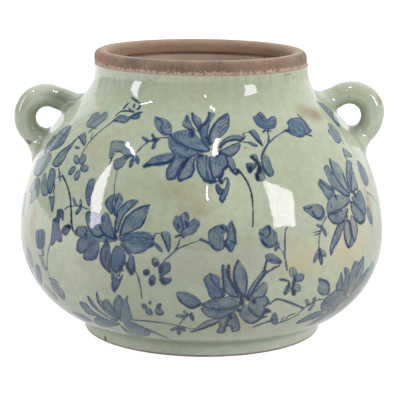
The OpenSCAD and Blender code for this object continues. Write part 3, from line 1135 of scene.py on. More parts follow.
    "right_blossom": """
    wash 0.95 0.6 0.4 344,221 352,222 356,232 353,244 348,247 344,236
    wash 1.05 1 0.75 346.3,162.2 348.6,160 351.7,163.7 351,173 351,184.4 351,193 348.6,186.6
      346.3,175.2
    wash 0.8 1.1 0.5 352.4,173 354.7,176 357.8,187.4 355.5,189.7 352.4,193 351.3,184.4
    wash 0.75 0.8 329.2,158.8 333.4,161.5 338.7,164.5 343.3,173 347.1,184.4 349.4,193 343.3,188.2
      337.2,180.5 331.8,170.6
    wash 0.9 1 0.65 324.2,168 328,166 333.4,175 340.2,184.4 349.4,194.5 346.3,196 338.7,191.2
      331.8,186 326.5,175.2
    stroke 1.3 1.5 0.4 329.3,158.5 333.4,170.6 340.2,183.6 347,191
    stroke 0.7 0.6 326.5,167.5 331,177.5 337.2,186.6 343,191.5
    stroke 1 1 0.75 342.5,173.7 345.5,182 348.6,190
    stroke 0.8 0.8 336,170 341,181
    wash 1 0.8 319.6,179.4 323.4,180.5 328,184.4 334.1,190.5 332.6,195 328,199 325,195 321,188.2
      318.5,184.7
    stroke 1.3 1.5 320.4,180.5 328,188.2 334,190.5
    stroke 0.8 0.7 319.2,184.4 325,191.5
    wash 0.85 0.7 328.8,199 335.6,195 343.3,196 350.2,199.6 346.3,205.7 338.7,209.5 332.6,211.8
      327.3,212.6 327,206.5
    stroke 1.6 1.7 0.85 335,194.5 336.5,199.6
    stroke 0.9 0.9 331,203.5 331.8,209.5
    wash 0.9 1.2 0.7 328,215 335.6,213.4 343.3,210.3 348,208 346.3,215 342.5,221.8 337.2,224
      331.8,221.8
    stroke 1.4 1.9 327.3,213.2 337.2,211.8 344.8,206.5 350.2,201
    wash 1.1 1.4 1 351.7,197.3 354.7,195.8 359.3,190.5 363,197.3 365.4,206.5 364.7,215.6 360,209.5
      354.7,202.7
    wash 0.95 1.9 1 351,202 354.7,204.2 360,210.3 364.7,216.4 363,221.8 359.3,223 354.7,217.2
      351.7,210.3
    wash 0.9 1.2 344.8,222.5 342.5,230.2 338.7,240 333.4,248.5 331,254.8 330.3,247.7 332.6,237.8
      336.4,228.6 338.7,224.8
    wash 0.85 1.5 0.85 346.3,220.2 349.4,223.3 351,234 351,240 349,247.5 346.3,243 344.4,235.5
      344,226.3
    wash 0.7 1.4 0.85 351.7,215.6 355.5,221 357.4,229.4 356.6,235.5 354.4,241 352.4,235.5 351,226.3
      350.2,218.7
    stroke 1.9 1.5 346.5,213.5 347.8,221
    stroke 3.4 3.4 1 353,192 355.5,196
    wash 0.85 0.8 303.6,207.3 308.2,205 314.3,204.2 319.6,205 323.4,208.8 324.6,215 322,219.5
      318.9,220.2 313.5,217.2 308.2,212.6 304.4,210.3
    stroke 1.5 0.9 304,208 308.5,208.5 312,207
    stroke 1.7 1.4 312.5,212 317,217.8 322,216.5 323.5,210
    stroke 1.1 1.1 326.5,217 322.7,224 320.4,232.4 319,240 319,248.5
    petal 2.6 0.95 0.8 322.3,226.5 316.5,225
    stroke 0.9 1.3 313.3,232.8 319.8,231
    stroke 0.8 1.1 314,235.3 319.6,233.8
    petal 2.6 0.9 0.8 322.5,226 326.3,236.7
    petal 3.4 0.95 0.7 319.2,248.5 314,262.7
    petal 4.2 0.75 0.7 319.5,249 326,256.3
    petal 3.2 1.45 0.9 0.45 319.8,251 321.5,265
    stroke 2.7 2.8 0.45 319.6,249.5 320,255.5
    stroke 1.3 0.8 0.85 367,192 373,197.3 377,204
    petal 4 1 0.9 367,206 372,224.8
    """,
    "centre_buds": """
    wash 0.85 0.6 161,233.3 168.7,232.2 170.6,239 168.8,252.3 165.5,245
    stroke 1.3 1 161.3,233.5 165,241.5 168.8,252.5
    wash 1.05 0.7 173.5,223.6 175.4,216 180.2,217 183,223.6 182,232.2 177.3,231.2
    wash 0.85 0.9 181,215 186,212 188.8,217 187,224.5 184,231.2 182.5,223
    wash 0.95 0.6 187,225.5 193.6,218.8 199.8,222.6 196.5,230.3 190.7,235 183,235 182.5,231
    stroke 1.9 1.6 177.5,224.5 179,228
    stroke 1.5 2.4 185,221 187.5,226
    stroke 1 0.8 185.5,213.5 186.2,218
    stroke 1.9 1.9 175.8,237 180,235 184,237.5
    stroke 1 1.3 180.2,238.5 177.3,246.6 171.6,254 164,261 162,265.5
    stroke 1.4 0.6 172.5,253 178,248.7 187.8,244.6 201,240
    wash 1 0.7 209,231.2 215.6,226.5 224.2,224.5 226.2,229.3 223.3,237 224.2,246.6 219.4,250.4
      213.7,249.4 210,243.7 208.4,237
    wash 0.95 0.8 228,226 231,222.5 234,231 235,242 232,251.5 227.5,249 225,242 229,235
    stroke 2.8 1.8 201.2,239.7 208.9,243
    stroke 1.6 1.5 211,245 216,249.5 220,250
    stroke 2.1 1.9 221.5,226.5 223,229
    stroke 1.4 1.7 226.6,226.5 227.6,237 224.3,243
    stroke 1.4 1.8 231.9,221.5 234.8,231 235.8,242
    stroke 1.6 1.9 224.3,240.8 228,247 231,251.5
    stroke 1 1.6 230,240.5 235.5,243.5
    stroke 0.7 0.7 214,231 219,235 221,242
    """,
    "blots": """
    petal 6.5 0.75 1.3 0.95 155.3,258 155.5,266
    stroke 3.3 2.9 0.75 155,264 156,263.5
    petal 6 1.6 1 0.95 149.2,270.8 143.8,273.6
    stroke 3.4 3.4 1 146,272.8 146.6,272.4
    petal 6.5 1.25 0.9 153.5,275 151,285.5
    stroke 2.8 3.3 1 150.8,281 152.5,283
    wash 1.6 1 161,263.8 168.7,262.8 170,270.5 162,275.3 159,270.5
    stroke 3.4 3.4 1 160.3,267 161,271.5
    wash 1.6 0.8 159.5,275.3 162,284 168.7,283 171.5,278 164.9,278
    stroke 3.4 3.4 1 161,279.5 164.5,282.8
    stroke 1.7 1.8 150,301.3 150.2,303.8
    petal 4 1.05 0.9 142.5,303.5 145.8,308.8
    petal 5.5 1.1 0.9 146.3,308.5 151.8,315
    petal 4 1.55 0.8 160.8,303.5 157.3,308.3
    petal 6 0.85 1.1 1 155.2,309.8 163.3,313.6
    stroke 1.4 1.6 127.3,296.5 126.7,299.5
    """,
    "lower_left_blossom": """
    wash 0.95 0.6 0.4 80,228 96,226.5 113,232 117,240 104,242 88,238
    stroke 1.6 2.1 0.85 62.3,175.5 66.4,183.8 69.7,194.6 71,207 71.7,223.6 74,231.8 80.7,236.3
      85.3,237.8
    wash 1.05 0.8 89.5,180 95.5,179 93.5,187 91,196 89.3,206 86.2,200 86,190
    petal 10.5 0.95 0.9 0.75 75.8,231 87.2,231
    wash 0.95 1.2 0.5 86,214 92,212 104,216 111,224 114.5,238.5 104,234.5 99,237 92,233.5 87.5,225
    wash 1 0.6 103,215.5 108,213 112.5,226 114.4,238.6 106.7,235.5 100.6,229.4
    stroke 1.4 1.8 99.5,227 105,235 113.5,238.8
    wash 1.05 0.9 105.2,202.6 109.8,196.5 114.4,194.2 112.8,200.3 112.5,208 111.7,214 107.5,208.7
    wash 0.9 0.7 116,195 119.7,193.4 122.8,200.3 119,207.2 115,215.6 113.6,210.2 115,202.6
    stroke 1.1 1.5 114.6,194.5 113.3,201
    stroke 1.2 1.9 118,196.5 115.5,202.5
    stroke 1.5 1.1 114.2,209 115,214
    wash 0.95 0.9 116,231 115,223.3 116.7,215.6 119.7,208.7 125,203.4 132.7,199.5 138.9,201.8
      132.7,207.2 125,214 120.5,221.7 118.2,231
    stroke 0.7 0.6 135,202.7 127,211 121,221.5
    stroke 1.1 1.3 0.55 115.8,238.5 115,226 117.5,214
    wash 0.95 0.8 0.5 121.3,234.7 122,227.8 125,219.4 131.2,212.5 138.9,207.2 148.8,205.3 145.7,218
      141.9,225.6 135.8,229.4 123.6,234.7
    stroke 1 2 149.8,205 144,206.5 138,208.5 128,215.6 122,226.3 119.9,235.5 122,243
    stroke 0.7 0.9 122.5,234.5 131,231.5 140,227 145,219
    wash 1.15 0.9 123.6,236.3 135.8,232.4 143.5,231.7 151,234 153.4,240 153.4,244 146.5,248.5
      139,252.3 131.2,253 126.6,247.7 123.6,241.6
    stroke 0.7 1 129.5,238 140,237.3 153,239.5
    stroke 1.4 1.7 0.45 124,243 128,249.5 133,253.2 141,252 148,248.3 152.5,245
    stroke 1.1 0.8 153.6,239.5 155.3,234 159.5,233.3
    petal 3 1.15 0.8 153.7,242.5 162.3,251.6
    wash 1.6 1.9 0.85 80,238.6 89,237.8 95.2,241 89,245.4 84.5,251.6 80,252.3 77.3,248.5
    wash 1.6 1.5 0.6 98.3,241.6 93,244.7 86.8,249.3 83.8,256.2 85.3,259.2 91.4,259.6 96,257
      99.1,248.5
    stroke 0.8 0.8 0.7 89,254.5 91,249 94.5,245.5
    stroke 3.4 3.4 1 85.3,236.3 86.3,237.8
    wash 1.6 1.2 0.45 102,247.7 106.7,241.6 109.8,246.2 109.8,257.7 109,266 110.6,272.2 105.2,268.4
      101.4,261.5 100.2,254
    stroke 1.8 2.5 1 103.5,246 100.4,254.5 102,263.5 109.5,272
    stroke 3.4 3.4 1 106.3,241 107.2,245.5
    stroke 1.3 1.3 0.9 106.5,250 105.5,262
    wash 1.6 1.5 0.75 116.7,245.4 112.8,251.6 110.9,260 112,269.2 116.7,272.2 121.3,267.6
      123.6,263.8 125,257 122.8,250
    wash 1.15 1.2 0.9 129.7,255.4 133.5,257.7 134.3,267.6 131.2,273 128,265.3
    stroke 3.3 2.5 1 122,245 129,253.5
    stroke 3.2 2.9 1 123.6,263 126.6,264.6 131.2,273.8 133.8,268.4
    stroke 3.4 3.4 1 120,266 121.5,269.5
    stroke 1.7 1 133.5,268.4 137.3,275.3 140.4,286.8 141.9,298.2
    wash 1.6 1 111.3,275.3 113,272.5 116,277.6 119,280 122.8,275 119.7,283.7 116,289.8 113.6,291.4
      112.8,283.7
    stroke 2.9 2.2 0.4 112.5,284 114,290.5 116.5,287
    stroke 1.1 1.3 0.45 115.5,272.5 118.5,276.5 120.5,270
    """,
    "left_leaves": """
    wash 1 0.7 71.4,125.4 68.9,133.3 63,144 55.6,149 49,150.7 50.7,143.2 56.5,135 64.7,127.5
    stroke 0.8 1 69.5,127.5 64,135 58.5,142.5
    wash 1.1 0.7 1 54,135 47.3,144 44.4,151.5 46.5,152 51.5,144 54.8,138.2
    wash 0.9 0.8 0.5 78,137.4 74.7,142.4 68,152.3 62.3,162.3 57.3,166.4 52.3,164 55.6,157.3
      61.4,150.7 69.7,145 74.7,140
    stroke 1 0.7 78,137.2 72,143.8 64,149.5 58,155.5 53.5,163
    stroke 0.9 0.9 72,146.5 66,151 61,156.5
    wash 0.95 0.9 0.4 50.7,169 54.8,169.7 55.6,176.3 54,183 50.7,193 47.3,189.6 47.3,181.3 49,174
    wash 0.8 0.8 45,173 46.5,176.3 46.5,186.3 48.2,193 45,195.4 42,193.7 40.7,186.3 42.4,178
    stroke 1.4 1.6 0.85 54,181.5 54.5,187 53,193.5
    wash 1 0.8 49,197 53,197 54.8,193 54,203 52,211.6 50.2,203
    wash 0.7 0.8 0.6 36.6,178 40,181.3 38.2,194.6 35,199.5 30,203 31.6,193 29.5,191 32.4,183
    stroke 1.4 2.2 58.5,168.5 59.5,173.5 60,180.5
    stroke 1.3 1.1 57.5,177.5 63,176.3
    stroke 1 1 64.7,209.5 68,207 78,205.8 88.8,209.5
    petal 2.8 0.9 0.7 76.8,206 72.6,197.5
    petal 2.2 0.8 0.8 0.7 80.9,206.5 80.9,199
    petal 3.2 1 0.9 0.4 81.3,206.8 76,214
    wash 1.6 0.9 0.8 57.3,210.3 62.3,209.5 64,213.6 63,221 60.6,217 59,224.4 61.8,238.5 60.8,241.6
      58,241 55.8,239.5 54,243.4 50.7,244.3 52.3,227.7 53,220.2 57.3,217
    stroke 1.3 0.9 58.5,211.5 60.5,216.5
    stroke 1 0.7 54.5,220.5 57,214.5
    wash 1.6 1.4 1 63,227.7 68,224.8 70.5,227 67.2,233.5 64.7,234.7 62.3,231.8
    stroke 3.4 3.4 1 63.5,233 65.5,228 69,226
    wash 1.6 0.8 36.6,231 44,230.2 45,238.5 43.2,247.6 37.8,247.6 35.7,238.5
    stroke 2 2 1 38.5,232 38.8,243
    stroke 2 2 1 42,231.5 41.8,242
    wash 0.95 1 60,287 63.6,291.6 64.5,297 62.7,298.8 58,292 52,283 49,278 56,280.5
    wash 0.7 0.8 49,152.5 42,156.5 36.5,163 34,171 37.5,176 42.5,172 47,166 51.5,158
    petal 2.6 0.8 0.8 42.5,246.5 42.8,256
    stroke 1.2 1 50.5,242 48.6,250 47.2,258 47.4,267 49.6,276.5
    petal 3.2 0.7 0.9 39.5,254.5 46.5,270.5
    petal 5 1.3 1 36.5,263.5 41,285
    petal 4 0.7 1 27,247 33,267.5
    petal 3.6 0.7 0.9 0.7 43.5,284 57.5,299.5
    stroke 2 2 1 51,283.5 55,290.5 61,297.5
    """,
    "lower_sprigs": """
    stroke 1.8 1.3 133.2,320 149.3,321.3 167,323.6 180.5,326.2 192,329 200,328.2
    petal 3.2 0.9 0.8 184.5,316 175.8,315.7
    petal 3 0.85 0.8 187.5,315.5 184,310.5
    petal 3.2 1.35 0.9 191.2,312.5 192.6,320.6
    stroke 1.5 1.1 0.4 192,313 185,317.5 179.6,324
    petal 3 1 0.9 179,327 171,330.2
    petal 3.6 1.6 0.9 179,326.8 178.8,334.8
    petal 3 1.6 0.9 179.6,326.2 185.6,331.3
    wash 1.1 0.6 176.4,292.3 185,292 193.6,295.4 200.3,301 199.3,305 193.6,307.8 187.8,306.8
      181,302 177.3,296.3
    stroke 1.6 2.4 1 177.5,296 181,302 188,306.8 194,307.6 199.5,304.8
    """,
    "foot_blossom_left": """
    wash 1.6 0.7 0.85 72.5,312 80,313.5 88.6,318 92,322 85,320.5
    wash 1.1 0.9 79.2,302.3 86,303.2 91.3,309.5 100.2,315.7 95.7,315.7 86.8,313
    wash 0.95 0.9 0.95 87.7,296 91.3,299.6 98.4,308.6 110,318.4 117,321 103,314.8 92,306
    wash 0.7 0.9 0.5 96.6,292 100.2,299.6 108.2,309.5 118,320.2 106.4,313 97.5,301.4
    wash 1 0.7 103.8,300.5 108.2,299.6 113.6,309.5 119,319.3 110,313 103,306
    stroke 1.8 0.9 88,296.5 90,302 97,309
    stroke 1.4 0.6 96.8,292.5 98,300 105,309.5
    stroke 0.7 0.6 79.5,302.3 84,307.5
    wash 1 0.7 113.6,301.4 119,295.2 122.5,300.5 120.7,309.5 119,318.4 114.5,311.3
    stroke 1.5 0.9 119,295.5 120.5,299
    wash 0.85 0.6 122.5,301.4 126,298.8 129.6,308.6 132.3,319.3 126,321 120.7,321 120.7,311.3
    stroke 0.7 0.6 126,299 129.8,308.6 132.5,319.5
    wash 1.4 0.8 0.45 94,321 98.4,316.6 106.4,318.4 115.4,322 119.8,324 110,326.4 100.2,325.5
    stroke 2 1.8 1 94,320.8 100.2,325.8 110,327.5 120,331
    wash 1.1 1 0.55 124.3,323 131.4,321.8 140.4,325.5 149.3,331 149,334.8 145.7,335.4 136,333.6
      128,328.2
    wash 1.6 0.9 0.95 120.7,325.5 128,330 136,334.5 148.4,335.4 138.6,336.3 128,333.6
    stroke 1.6 1.6 0.75 146.5,328.5 157.5,333.5 168,338
    stroke 1.2 2 1 150,331.5 159,335 168,338.2
    stroke 3.4 3.4 1 128,336.3 134,338
    """,
    "foot_blossom": """
    wash 1 0.7 0.6 201.5,304.6 210,300 220.6,298.5 232,296.2 239,301.6 242.8,303 236,305.4
      224.5,308.5 213,308.5 205.3,307
    wash 1 1 201.5,308 209,310.5 220.6,311.3 233,308.5 236,310 228.3,315.4 220.6,318.4 211.4,317.6
      205.3,314.6
    stroke 1.5 2.2 0.4 200.5,303 207,307.6 215,309.8 226,309.8 235,307.5 242.5,304.5
    wash 1.3 0.7 0.5 204.2,278.6 210,274 219,277 220.6,286.3 223.7,290 224,296 213,298.5 209,295
      207.6,290 205.3,284.7
    stroke 0.7 0.6 204.3,278 207,287.5 211,293
    stroke 2 1.2 210,273.5 213,282 221,290.5
    stroke 0.8 0.9 210.5,293 217,291.5 222,292
    stroke 0.9 0.9 208.5,300.5 208.7,302.5
    stroke 0.7 0.7 211.5,299.3 211.7,302.3
    stroke 0.8 0.8 214.5,298.3 214.7,301.8
    stroke 1.7 1.2 0.85 222,294 222.5,297.5
    wash 1 0.7 0.6 222.2,265.6 224.5,265.6 226,271 229.8,280 236,290 239,296.2 231.3,295.4
      224.5,290 223,278.6
    stroke 1.4 2.1 0.65 222.5,265.5 222.8,278 224,290.5
    stroke 2.5 3.4 1 228.3,265.6 229,277 237.5,292.4
    stroke 1.2 1.2 0.65 224.5,291 232,296.5 238,298
    wash 0.9 1.2 0.5 238,260.2 242.8,266.3 246,274 247,283.2 245,295.4 240.5,294 235.2,284.7
      233.6,277 234.4,269.4
    stroke 1.5 2.5 0.65 238,260.5 234,270 234.5,280 239,291 243,296.5
    wash 0.85 0.9 0.7 247.4,295.4 251.3,286.3 259,275.5 263.5,270.2 266.6,271.7 261.2,280 254.3,290
      249.7,296.2
    stroke 2.3 1.4 249.7,296.2 258.9,281.7 265,274 274.2,268 279.6,265.6
    stroke 2.1 1.3 0.5 263.8,271.5 266,263.3 266.8,259.5
    wash 0.9 0.9 265.8,255.6 271.2,253.3 276.5,256.4 281.5,262.5 274.2,263.3 267.3,260.2
    stroke 1.6 1.2 270,259.5 276,260.8 281.5,262.8
    wash 0.85 1 0.4 251.3,296.2 257.4,288.6 263.5,282.4 267.3,283.2 266.6,291 263.5,296.2
      257.4,297.7
    wash 0.95 0.8 255.8,298.5 262.7,297.7 267.3,298.5 269,302.3 265,306.2 263.5,312.3 259,317
      251.3,309.2 248.2,304
    wash 0.9 1.1 240.5,310.8 245,304.6 251.3,310 259,317 257.4,320.7 249.7,323 243.6,319.2
      239.8,315.4
    stroke 1.2 2.1 248.5,308.5 253.5,314.5 259.5,317
    stroke 1.6 3 0.8 243.5,319.5 250,323.2 259,320 264,313.5 266.5,310.5
    stroke 2 1.1 264.5,306.5 268.5,303 267,298 264,296.5
    stroke 3.4 3.4 1 266,309.5 268.5,311.5
    stroke 3.4 3.4 1 241,296.5 242.5,303
    stroke 3.4 3.4 1 246.5,297 249.5,299.5
    stroke 3.4 3.4 1 252.8,300 254.5,301.8
    stroke 3.4 2.9 1 238.6,309.5 239.2,311.5
    wash 0.7 1 0.8 194.6,330.7 200,325.3 207.6,320.7 216.8,319.2 219,321.5 213,325.3 203.8,327.6
    stroke 2.5 2 0.7 192,331.5 197,330.5 204,328 217,322.5
    wash 1 1.5 0.6 219,319.2 226.8,316 232,313 236,315.4 239,324.5 239,330 233,331.4 231.3,326.8
      226,326 223.7,332.2 217.6,332.2 220,325.3
    stroke 3.4 3.4 1 229,315 230.5,318
    stroke 1.7 1.4 0.75 228.5,319 225.5,326.5
    stroke 0.7 0.6 234,316.5 236,326
    stroke 0.7 0.9 271,312.5 274.5,316.5 275.3,312.5 277.3,321
    wash 1.2 0.9 0.45 271.2,317 275,312.3 277.3,320 275.8,324.5 272,322.2
    stroke 1.8 2.5 0.55 253.6,326.8 262.7,323.5 271.5,320.5
    stroke 1.1 2.2 0.95 252.8,324 260,319 266,316.5
    """,
    "right_stems": """
    stroke 1 1.4 287.2,227.3 285.3,232 284.9,251.8 285.6,261 287.1,270
    stroke 1 1 278.8,247 283.3,252.8 284.8,258.5
    wash 0.95 0.6 259,231 264,228 268,225 272.5,229 276.5,233 277,241 273,246.5 266.5,247.5
      261.5,242.5
    stroke 1.8 1.5 259.5,233 263,235
    stroke 1.9 1.7 262,241 266.5,245.5
    stroke 1.7 1.2 268.5,226 270,233 267,238
    stroke 0.7 0.7 274.5,233 273.5,241
    petal 3.6 1 0.6 278.5,242 275,251
    petal 8 0.75 0.7 293.5,277.5 292.5,266.8
    petal 8.5 0.9 0.8 294,279.5 304,275.3
    petal 6.5 0.85 0.7 295,283.5 299.5,291.5
    petal 5 0.7 0.8 0.5 289.5,285 284.5,294.5
    stroke 1.7 2.1 0.4 280.1,279.5 287.8,280.8 288.7,284.6 285.3,293.5
    stroke 2.6 3.4 1 294.8,279.5 292.5,288.5 294.2,293.5
    stroke 0.7 0.7 292.5,270 294,277
    wash 0.95 0.8 318.4,278.3 323.5,279.5 328,281.5 329.8,286 329.2,293 326,294.8 321,294.2
      317.7,289.7 319,284
    stroke 1.5 1.2 319.5,280 325,280.8 329,285.5 328.7,291 327,294.5
    stroke 1.8 2.1 269.6,304 275.8,299.6 282,300 291,303 303.7,308.3
    stroke 1.6 1.2 303.7,308.2 310.7,303.8 317,300 322.8,299.3
    petal 3.4 0.8 0.8 308.5,304.5 305.8,299.5
    petal 2.8 1.35 0.9 313,303 315.5,297
    petal 2.8 0.8 0.9 314.6,303.2 308.8,310.3
    stroke 2.3 1.4 278.8,323 287.8,319.7 298,314.6
    stroke 1.2 0.8 281,321 284,316.5
    stroke 1.1 1.5 285,319.5 289,315.5 295.5,313.5
    stroke 1.2 1.3 299,313 303.7,308.2
    """,
    "foot_blossom_right": """
    wash 1.1 0.8 364.3,272 370,267.4 369.4,275.7 361,288.5 351.5,296 348.3,297.4
    wash 0.7 1.1 1 348.3,297.4 353.4,301.2 345.2,310.8 332.4,319.7 323.5,323 332.4,315.3
      341.3,306.3
    wash 0.85 1.1 0.4 363.7,256.3 364,264.2 363,270.6 358,282 350.3,293 354.7,282 357.3,270.6
      359.8,261.7
    wash 0.95 1.1 354,262.3 358,261.7 358.5,265.5 355.4,275.7 350.3,287.2 346.4,294.8 348.3,284.6
      351,272
    wash 1.05 0.8 344,268.7 347,268 349.6,272 348.3,279.5 347,287.2 345.2,293 343.9,284.6
      344.5,275.7
    wash 1.1 0.9 341.3,271.6 342.6,279.5 342,288.5 337.5,289.7 336.2,286 338.8,279.5
    wash 1.1 1.2 1 330.5,294.2 336.2,290.4 342.6,289.7 345.2,294.2 346.4,297.4 338.8,304.4
      331,305.7 323.5,301.2 328,296
    wash 1.15 0.9 323.5,302 332.4,305.7 338.8,305 332.4,309.5 326,310.8 321.6,309.5 321.2,304.4
    wash 1.15 1.2 0.75 296.7,323 303.7,317.8 313.3,312.7 321,311.4 322.2,313.3 314.5,317.8
      305.6,321
    wash 1.2 1.2 1 307.5,325.5 314.5,321 323.5,314 332.4,309 339.4,303.8 335,310.2 326,316.5
      316.5,322.3
    stroke 1.3 1.3 0.5 330.5,294 336.2,290.2 342.8,289.6 342.2,280
    stroke 1.6 1.4 0.4 344.5,295 348,297.5
    stroke 0.8 0.8 355,262.5 349.5,276 346,290
    stroke 0.9 0.9 364,257 358.5,271 351.5,288
    wash 0.7 1 371.5,262 374,264.5 371.5,273.5 365,284 357,293 349,300 352,292.5 360.5,283.5
      367.5,272.5
    wash 0.7 1 0.6 363,288.5 357,299.5 346.5,309.5 337.5,316 329.5,320.5 338,311.5 348,302.5
      356,295
    stroke 1.6 1.3 1 367,270.5 359.5,283 349.5,295.5
    stroke 1.1 1.1 0.4 361.5,263.5 356.5,278 348.5,293
    stroke 2.2 1.8 1 358,291 345,304 331,313.5
    stroke 1.3 1.2 1 346,297 338,305.5 325,313 313,319
    """,
}

STAINS: tuple[Stain, ...] = (
    Stain((352, 258), (16, 12), 0.2),
    Stain((85, 262), (30, 9), 0.45),
    Stain((300, 270), (14, 26), 0.3),
    Stain((352, 235), (13, 30), 0.35),
    Stain((369, 205), (7, 34), 1.0),
    Stain((340, 262), (14, 18), 0.2),
    Stain((180, 190), (30, 16), 0.6),
    Stain((198, 214), (26, 14), 0.5),
    Stain((33, 222), (9, 22), 0.9),
    Stain((52, 205), (12, 30), 0.45),
    Stain((215, 275), (34, 14), 0.4),
    Stain((110, 285), (36, 14), 0.35),
    Stain((318, 318), (16, 7), 0.6),
    Stain((95, 195), (18, 12), 0.35),
)


@dataclass(frozen=True)
class LaidMark:
    """One mark laid on the pot, in millimetres round and up its outer face.

    A pixel of the photograph is about 0.645 mm there.
    """

    turn: float
    flat: np.ndarray
    mark: Mark
    pixel: float = 0.645
    margin: float = 3.0

    @property
    def low(self) -> np.ndarray:
        """Returns the lower corner of the mark's field."""
        return self.flat.min(axis=0) - self.margin

    @property
    def high(self) -> np.ndarray:
        """Returns the upper corner of the mark's field."""
        return self.flat.max(axis=0) + self.margin


class Canvas:
    """The outer face of one stretch of wall, which takes the brushwork.

    Each vertex holds its distance from the nearest line as a share of half that
    line's width, the strength of the wash, the line's ink, and the warm stain.

    FAR stands for no line near by. A line is BLEED times as wide as drawn, its
    width sways by SWAY, and it reaches no further than REACH. Round a patch it
    sways by PATCH_SWAY about PATCH_LINE, and is heavier at the foot, by SAG. A
    patch hides what lies deeper than HIDDEN inside it. Its edge is SOFT wide, and
    its tone of THIN is darker by POOL over POOL_WIDTH from there. Its streaks are
    VEIN apart and bend a little. A stain is laid out to STAIN_REACH times its
    size. Lengths are in millimetres.
    """

    FAR = 9.0
    BLEED = 1.15
    SWAY = 0.16
    SWAY_STEP = 0.9
    PATCH_SWAY = 0.3
    PATCH_LINE = 0.95
    SAG = 0.75
    REACH = 2.6
    HIDDEN = 0.15
    SOFT = 1.1
    THIN = 0.82
    POOL = 0.3
    POOL_WIDTH = 0.9
    VEIN = 2.3
    VEIN_BEND = 0.55
    VEIN_SWAY = 0.45
    VEIN_TONE = 0.93
    VEIN_DEPTH = 0.2
    STAIN_REACH = 2.2

    def __init__(self, mesh: bpy.types.Mesh, outline: JarOutline, outside: np.ndarray) -> None:
        """Reads the face's points from the mesh."""
        co = vertices_mm(mesh, outline)
        self.mesh = mesh
        self.outside = outside
        self.turn = np.arctan2(co[:, 0], -co[:, 1])
        self.radius = np.hypot(co[:, 0], co[:, 1])
        self.length = outline.length_at(co[:, 2])
        self.edge = np.full(len(co), self.FAR)
        self.fill, self.ink, self.stain = (np.zeros(len(co)) for _ in range(3))

    def _near(
        self, turn: float, low: np.ndarray, high: np.ndarray
    ) -> tuple[np.ndarray, np.ndarray]:
        """Finds the points in a box round and up the face.

        Args:
            turn: Angle of the box's own zero.
            low: Its lower corner.
            high: Its upper corner.

        Returns:
            The points' numbers, and their places counted from that zero.
        """
        level = self.outside & (self.length > low[1]) & (self.length < high[1])
        chosen = np.nonzero(level)[0]
        away = (self.turn[chosen] - turn + math.pi) % math.tau - math.pi
        across = away * self.radius[chosen]
        kept = (across > low[0]) & (across < high[0])
        chosen = chosen[kept]
        return chosen, np.stack([across[kept], self.length[chosen]], axis=1)

    def lay(self, laid: LaidMark, turned: float) -> None:
        """Paints one mark, turned about the axis by an angle."""
        chosen, places = self._near(laid.turn + turned, laid.low, laid.high)
        if not len(chosen):
            return
        half = laid.pixel / 2 * self.BLEED
        if isinstance(laid.mark, Stroke):
            self._stroke(laid.flat, laid.mark, half, chosen, places)
        else:
            self._patch(laid.flat, laid.mark, half, chosen, places)

    def _stroke(
        self, line: np.ndarray, mark: Stroke, half: float, chosen: np.ndarray, places: np.ndarray
    ) -> None:
        """Draws a brush line, its width swaying a little."""
        sway = 1.0 + self.SWAY * np.sin(np.arange(len(line)) * self.SWAY_STEP + line[0, 0])
        widths = np.linspace(mark.width, mark.end, len(line)) * sway * half
        self._line(chosen, *nearest(places, line, widths, closed=False), mark.ink)

    def _patch(
        self, loop: np.ndarray, mark: Mark, half: float, chosen: np.ndarray, places: np.ndarray
    ) -> None:
        """Fills a patch over what was there, and draws the line round it."""
        round_turn = np.linspace(0.0, 2 * math.tau, len(loop), endpoint=False)
        heights = loop[:, 1] - loop[:, 1].mean()
        sway = self.PATCH_LINE + self.PATCH_SWAY * np.sin(round_turn + loop[0, 0])
        widths = mark.line * half * (sway - self.SAG * heights / np.ptp(heights))
        ratio, distance = nearest(places, loop, widths, closed=True)
        signed = np.where(within(places, loop), -distance, distance)
        share = np.clip(0.5 - signed / self.SOFT, 0.0, 1.0)
        pooled = mark.tone * (self.THIN + self.POOL * np.exp(-distance / self.POOL_WIDTH))
        pooled *= self._veins(loop, places)
        self.fill[chosen] += (pooled - self.fill[chosen]) * share
        self.edge[chosen[signed < -self.HIDDEN]] = self.FAR
        self._line(chosen, ratio, distance, mark.ink)

    def _veins(self, loop: np.ndarray, places: np.ndarray) -> np.ndarray:
        """Returns how the brush's hairs streak a patch along its length."""
        middle = loop.mean(axis=0)
        along, across = np.linalg.svd(loop - middle, full_matrices=False)[2]
        rows = (places - middle) @ across
        bend = self.VEIN_BEND * np.sin((places - middle) @ along * self.VEIN_SWAY + middle[0])
        hairs = 0.5 + 0.5 * np.cos(math.tau * (rows + bend) / self.VEIN)
        return self.VEIN_TONE + self.VEIN_DEPTH * hairs**2

    def _line(
        self, chosen: np.ndarray, ratio: np.ndarray, distance: np.ndarray, ink: float
    ) -> None:
        """Draws a line where it is nearer than what was there."""
        nearer = (ratio < self.edge[chosen]) & (distance < self.REACH)
        self.edge[chosen[nearer]] = ratio[nearer]
        self.ink[chosen[nearer]] = ink

    def blot(self, turn: float, place: float, size: Pair, strength: float) -> None:
        """Adds one soft stain about a place."""
        reach = np.array(size) * self.STAIN_REACH
        middle = np.array([0.0, place])
        chosen, places = self._near(turn, middle - reach, middle + reach)
        away = (places - middle) / np.array(size)
        self.stain[chosen] += strength * np.exp(-(away**2).sum(axis=1))

    def dry(self) -> None:
        """Stores the brushwork in the mesh."""
        store(self.mesh, "paint", np.stack([self.edge, self.fill, self.ink], axis=1))
        store(self.mesh, "stain", self.stain)


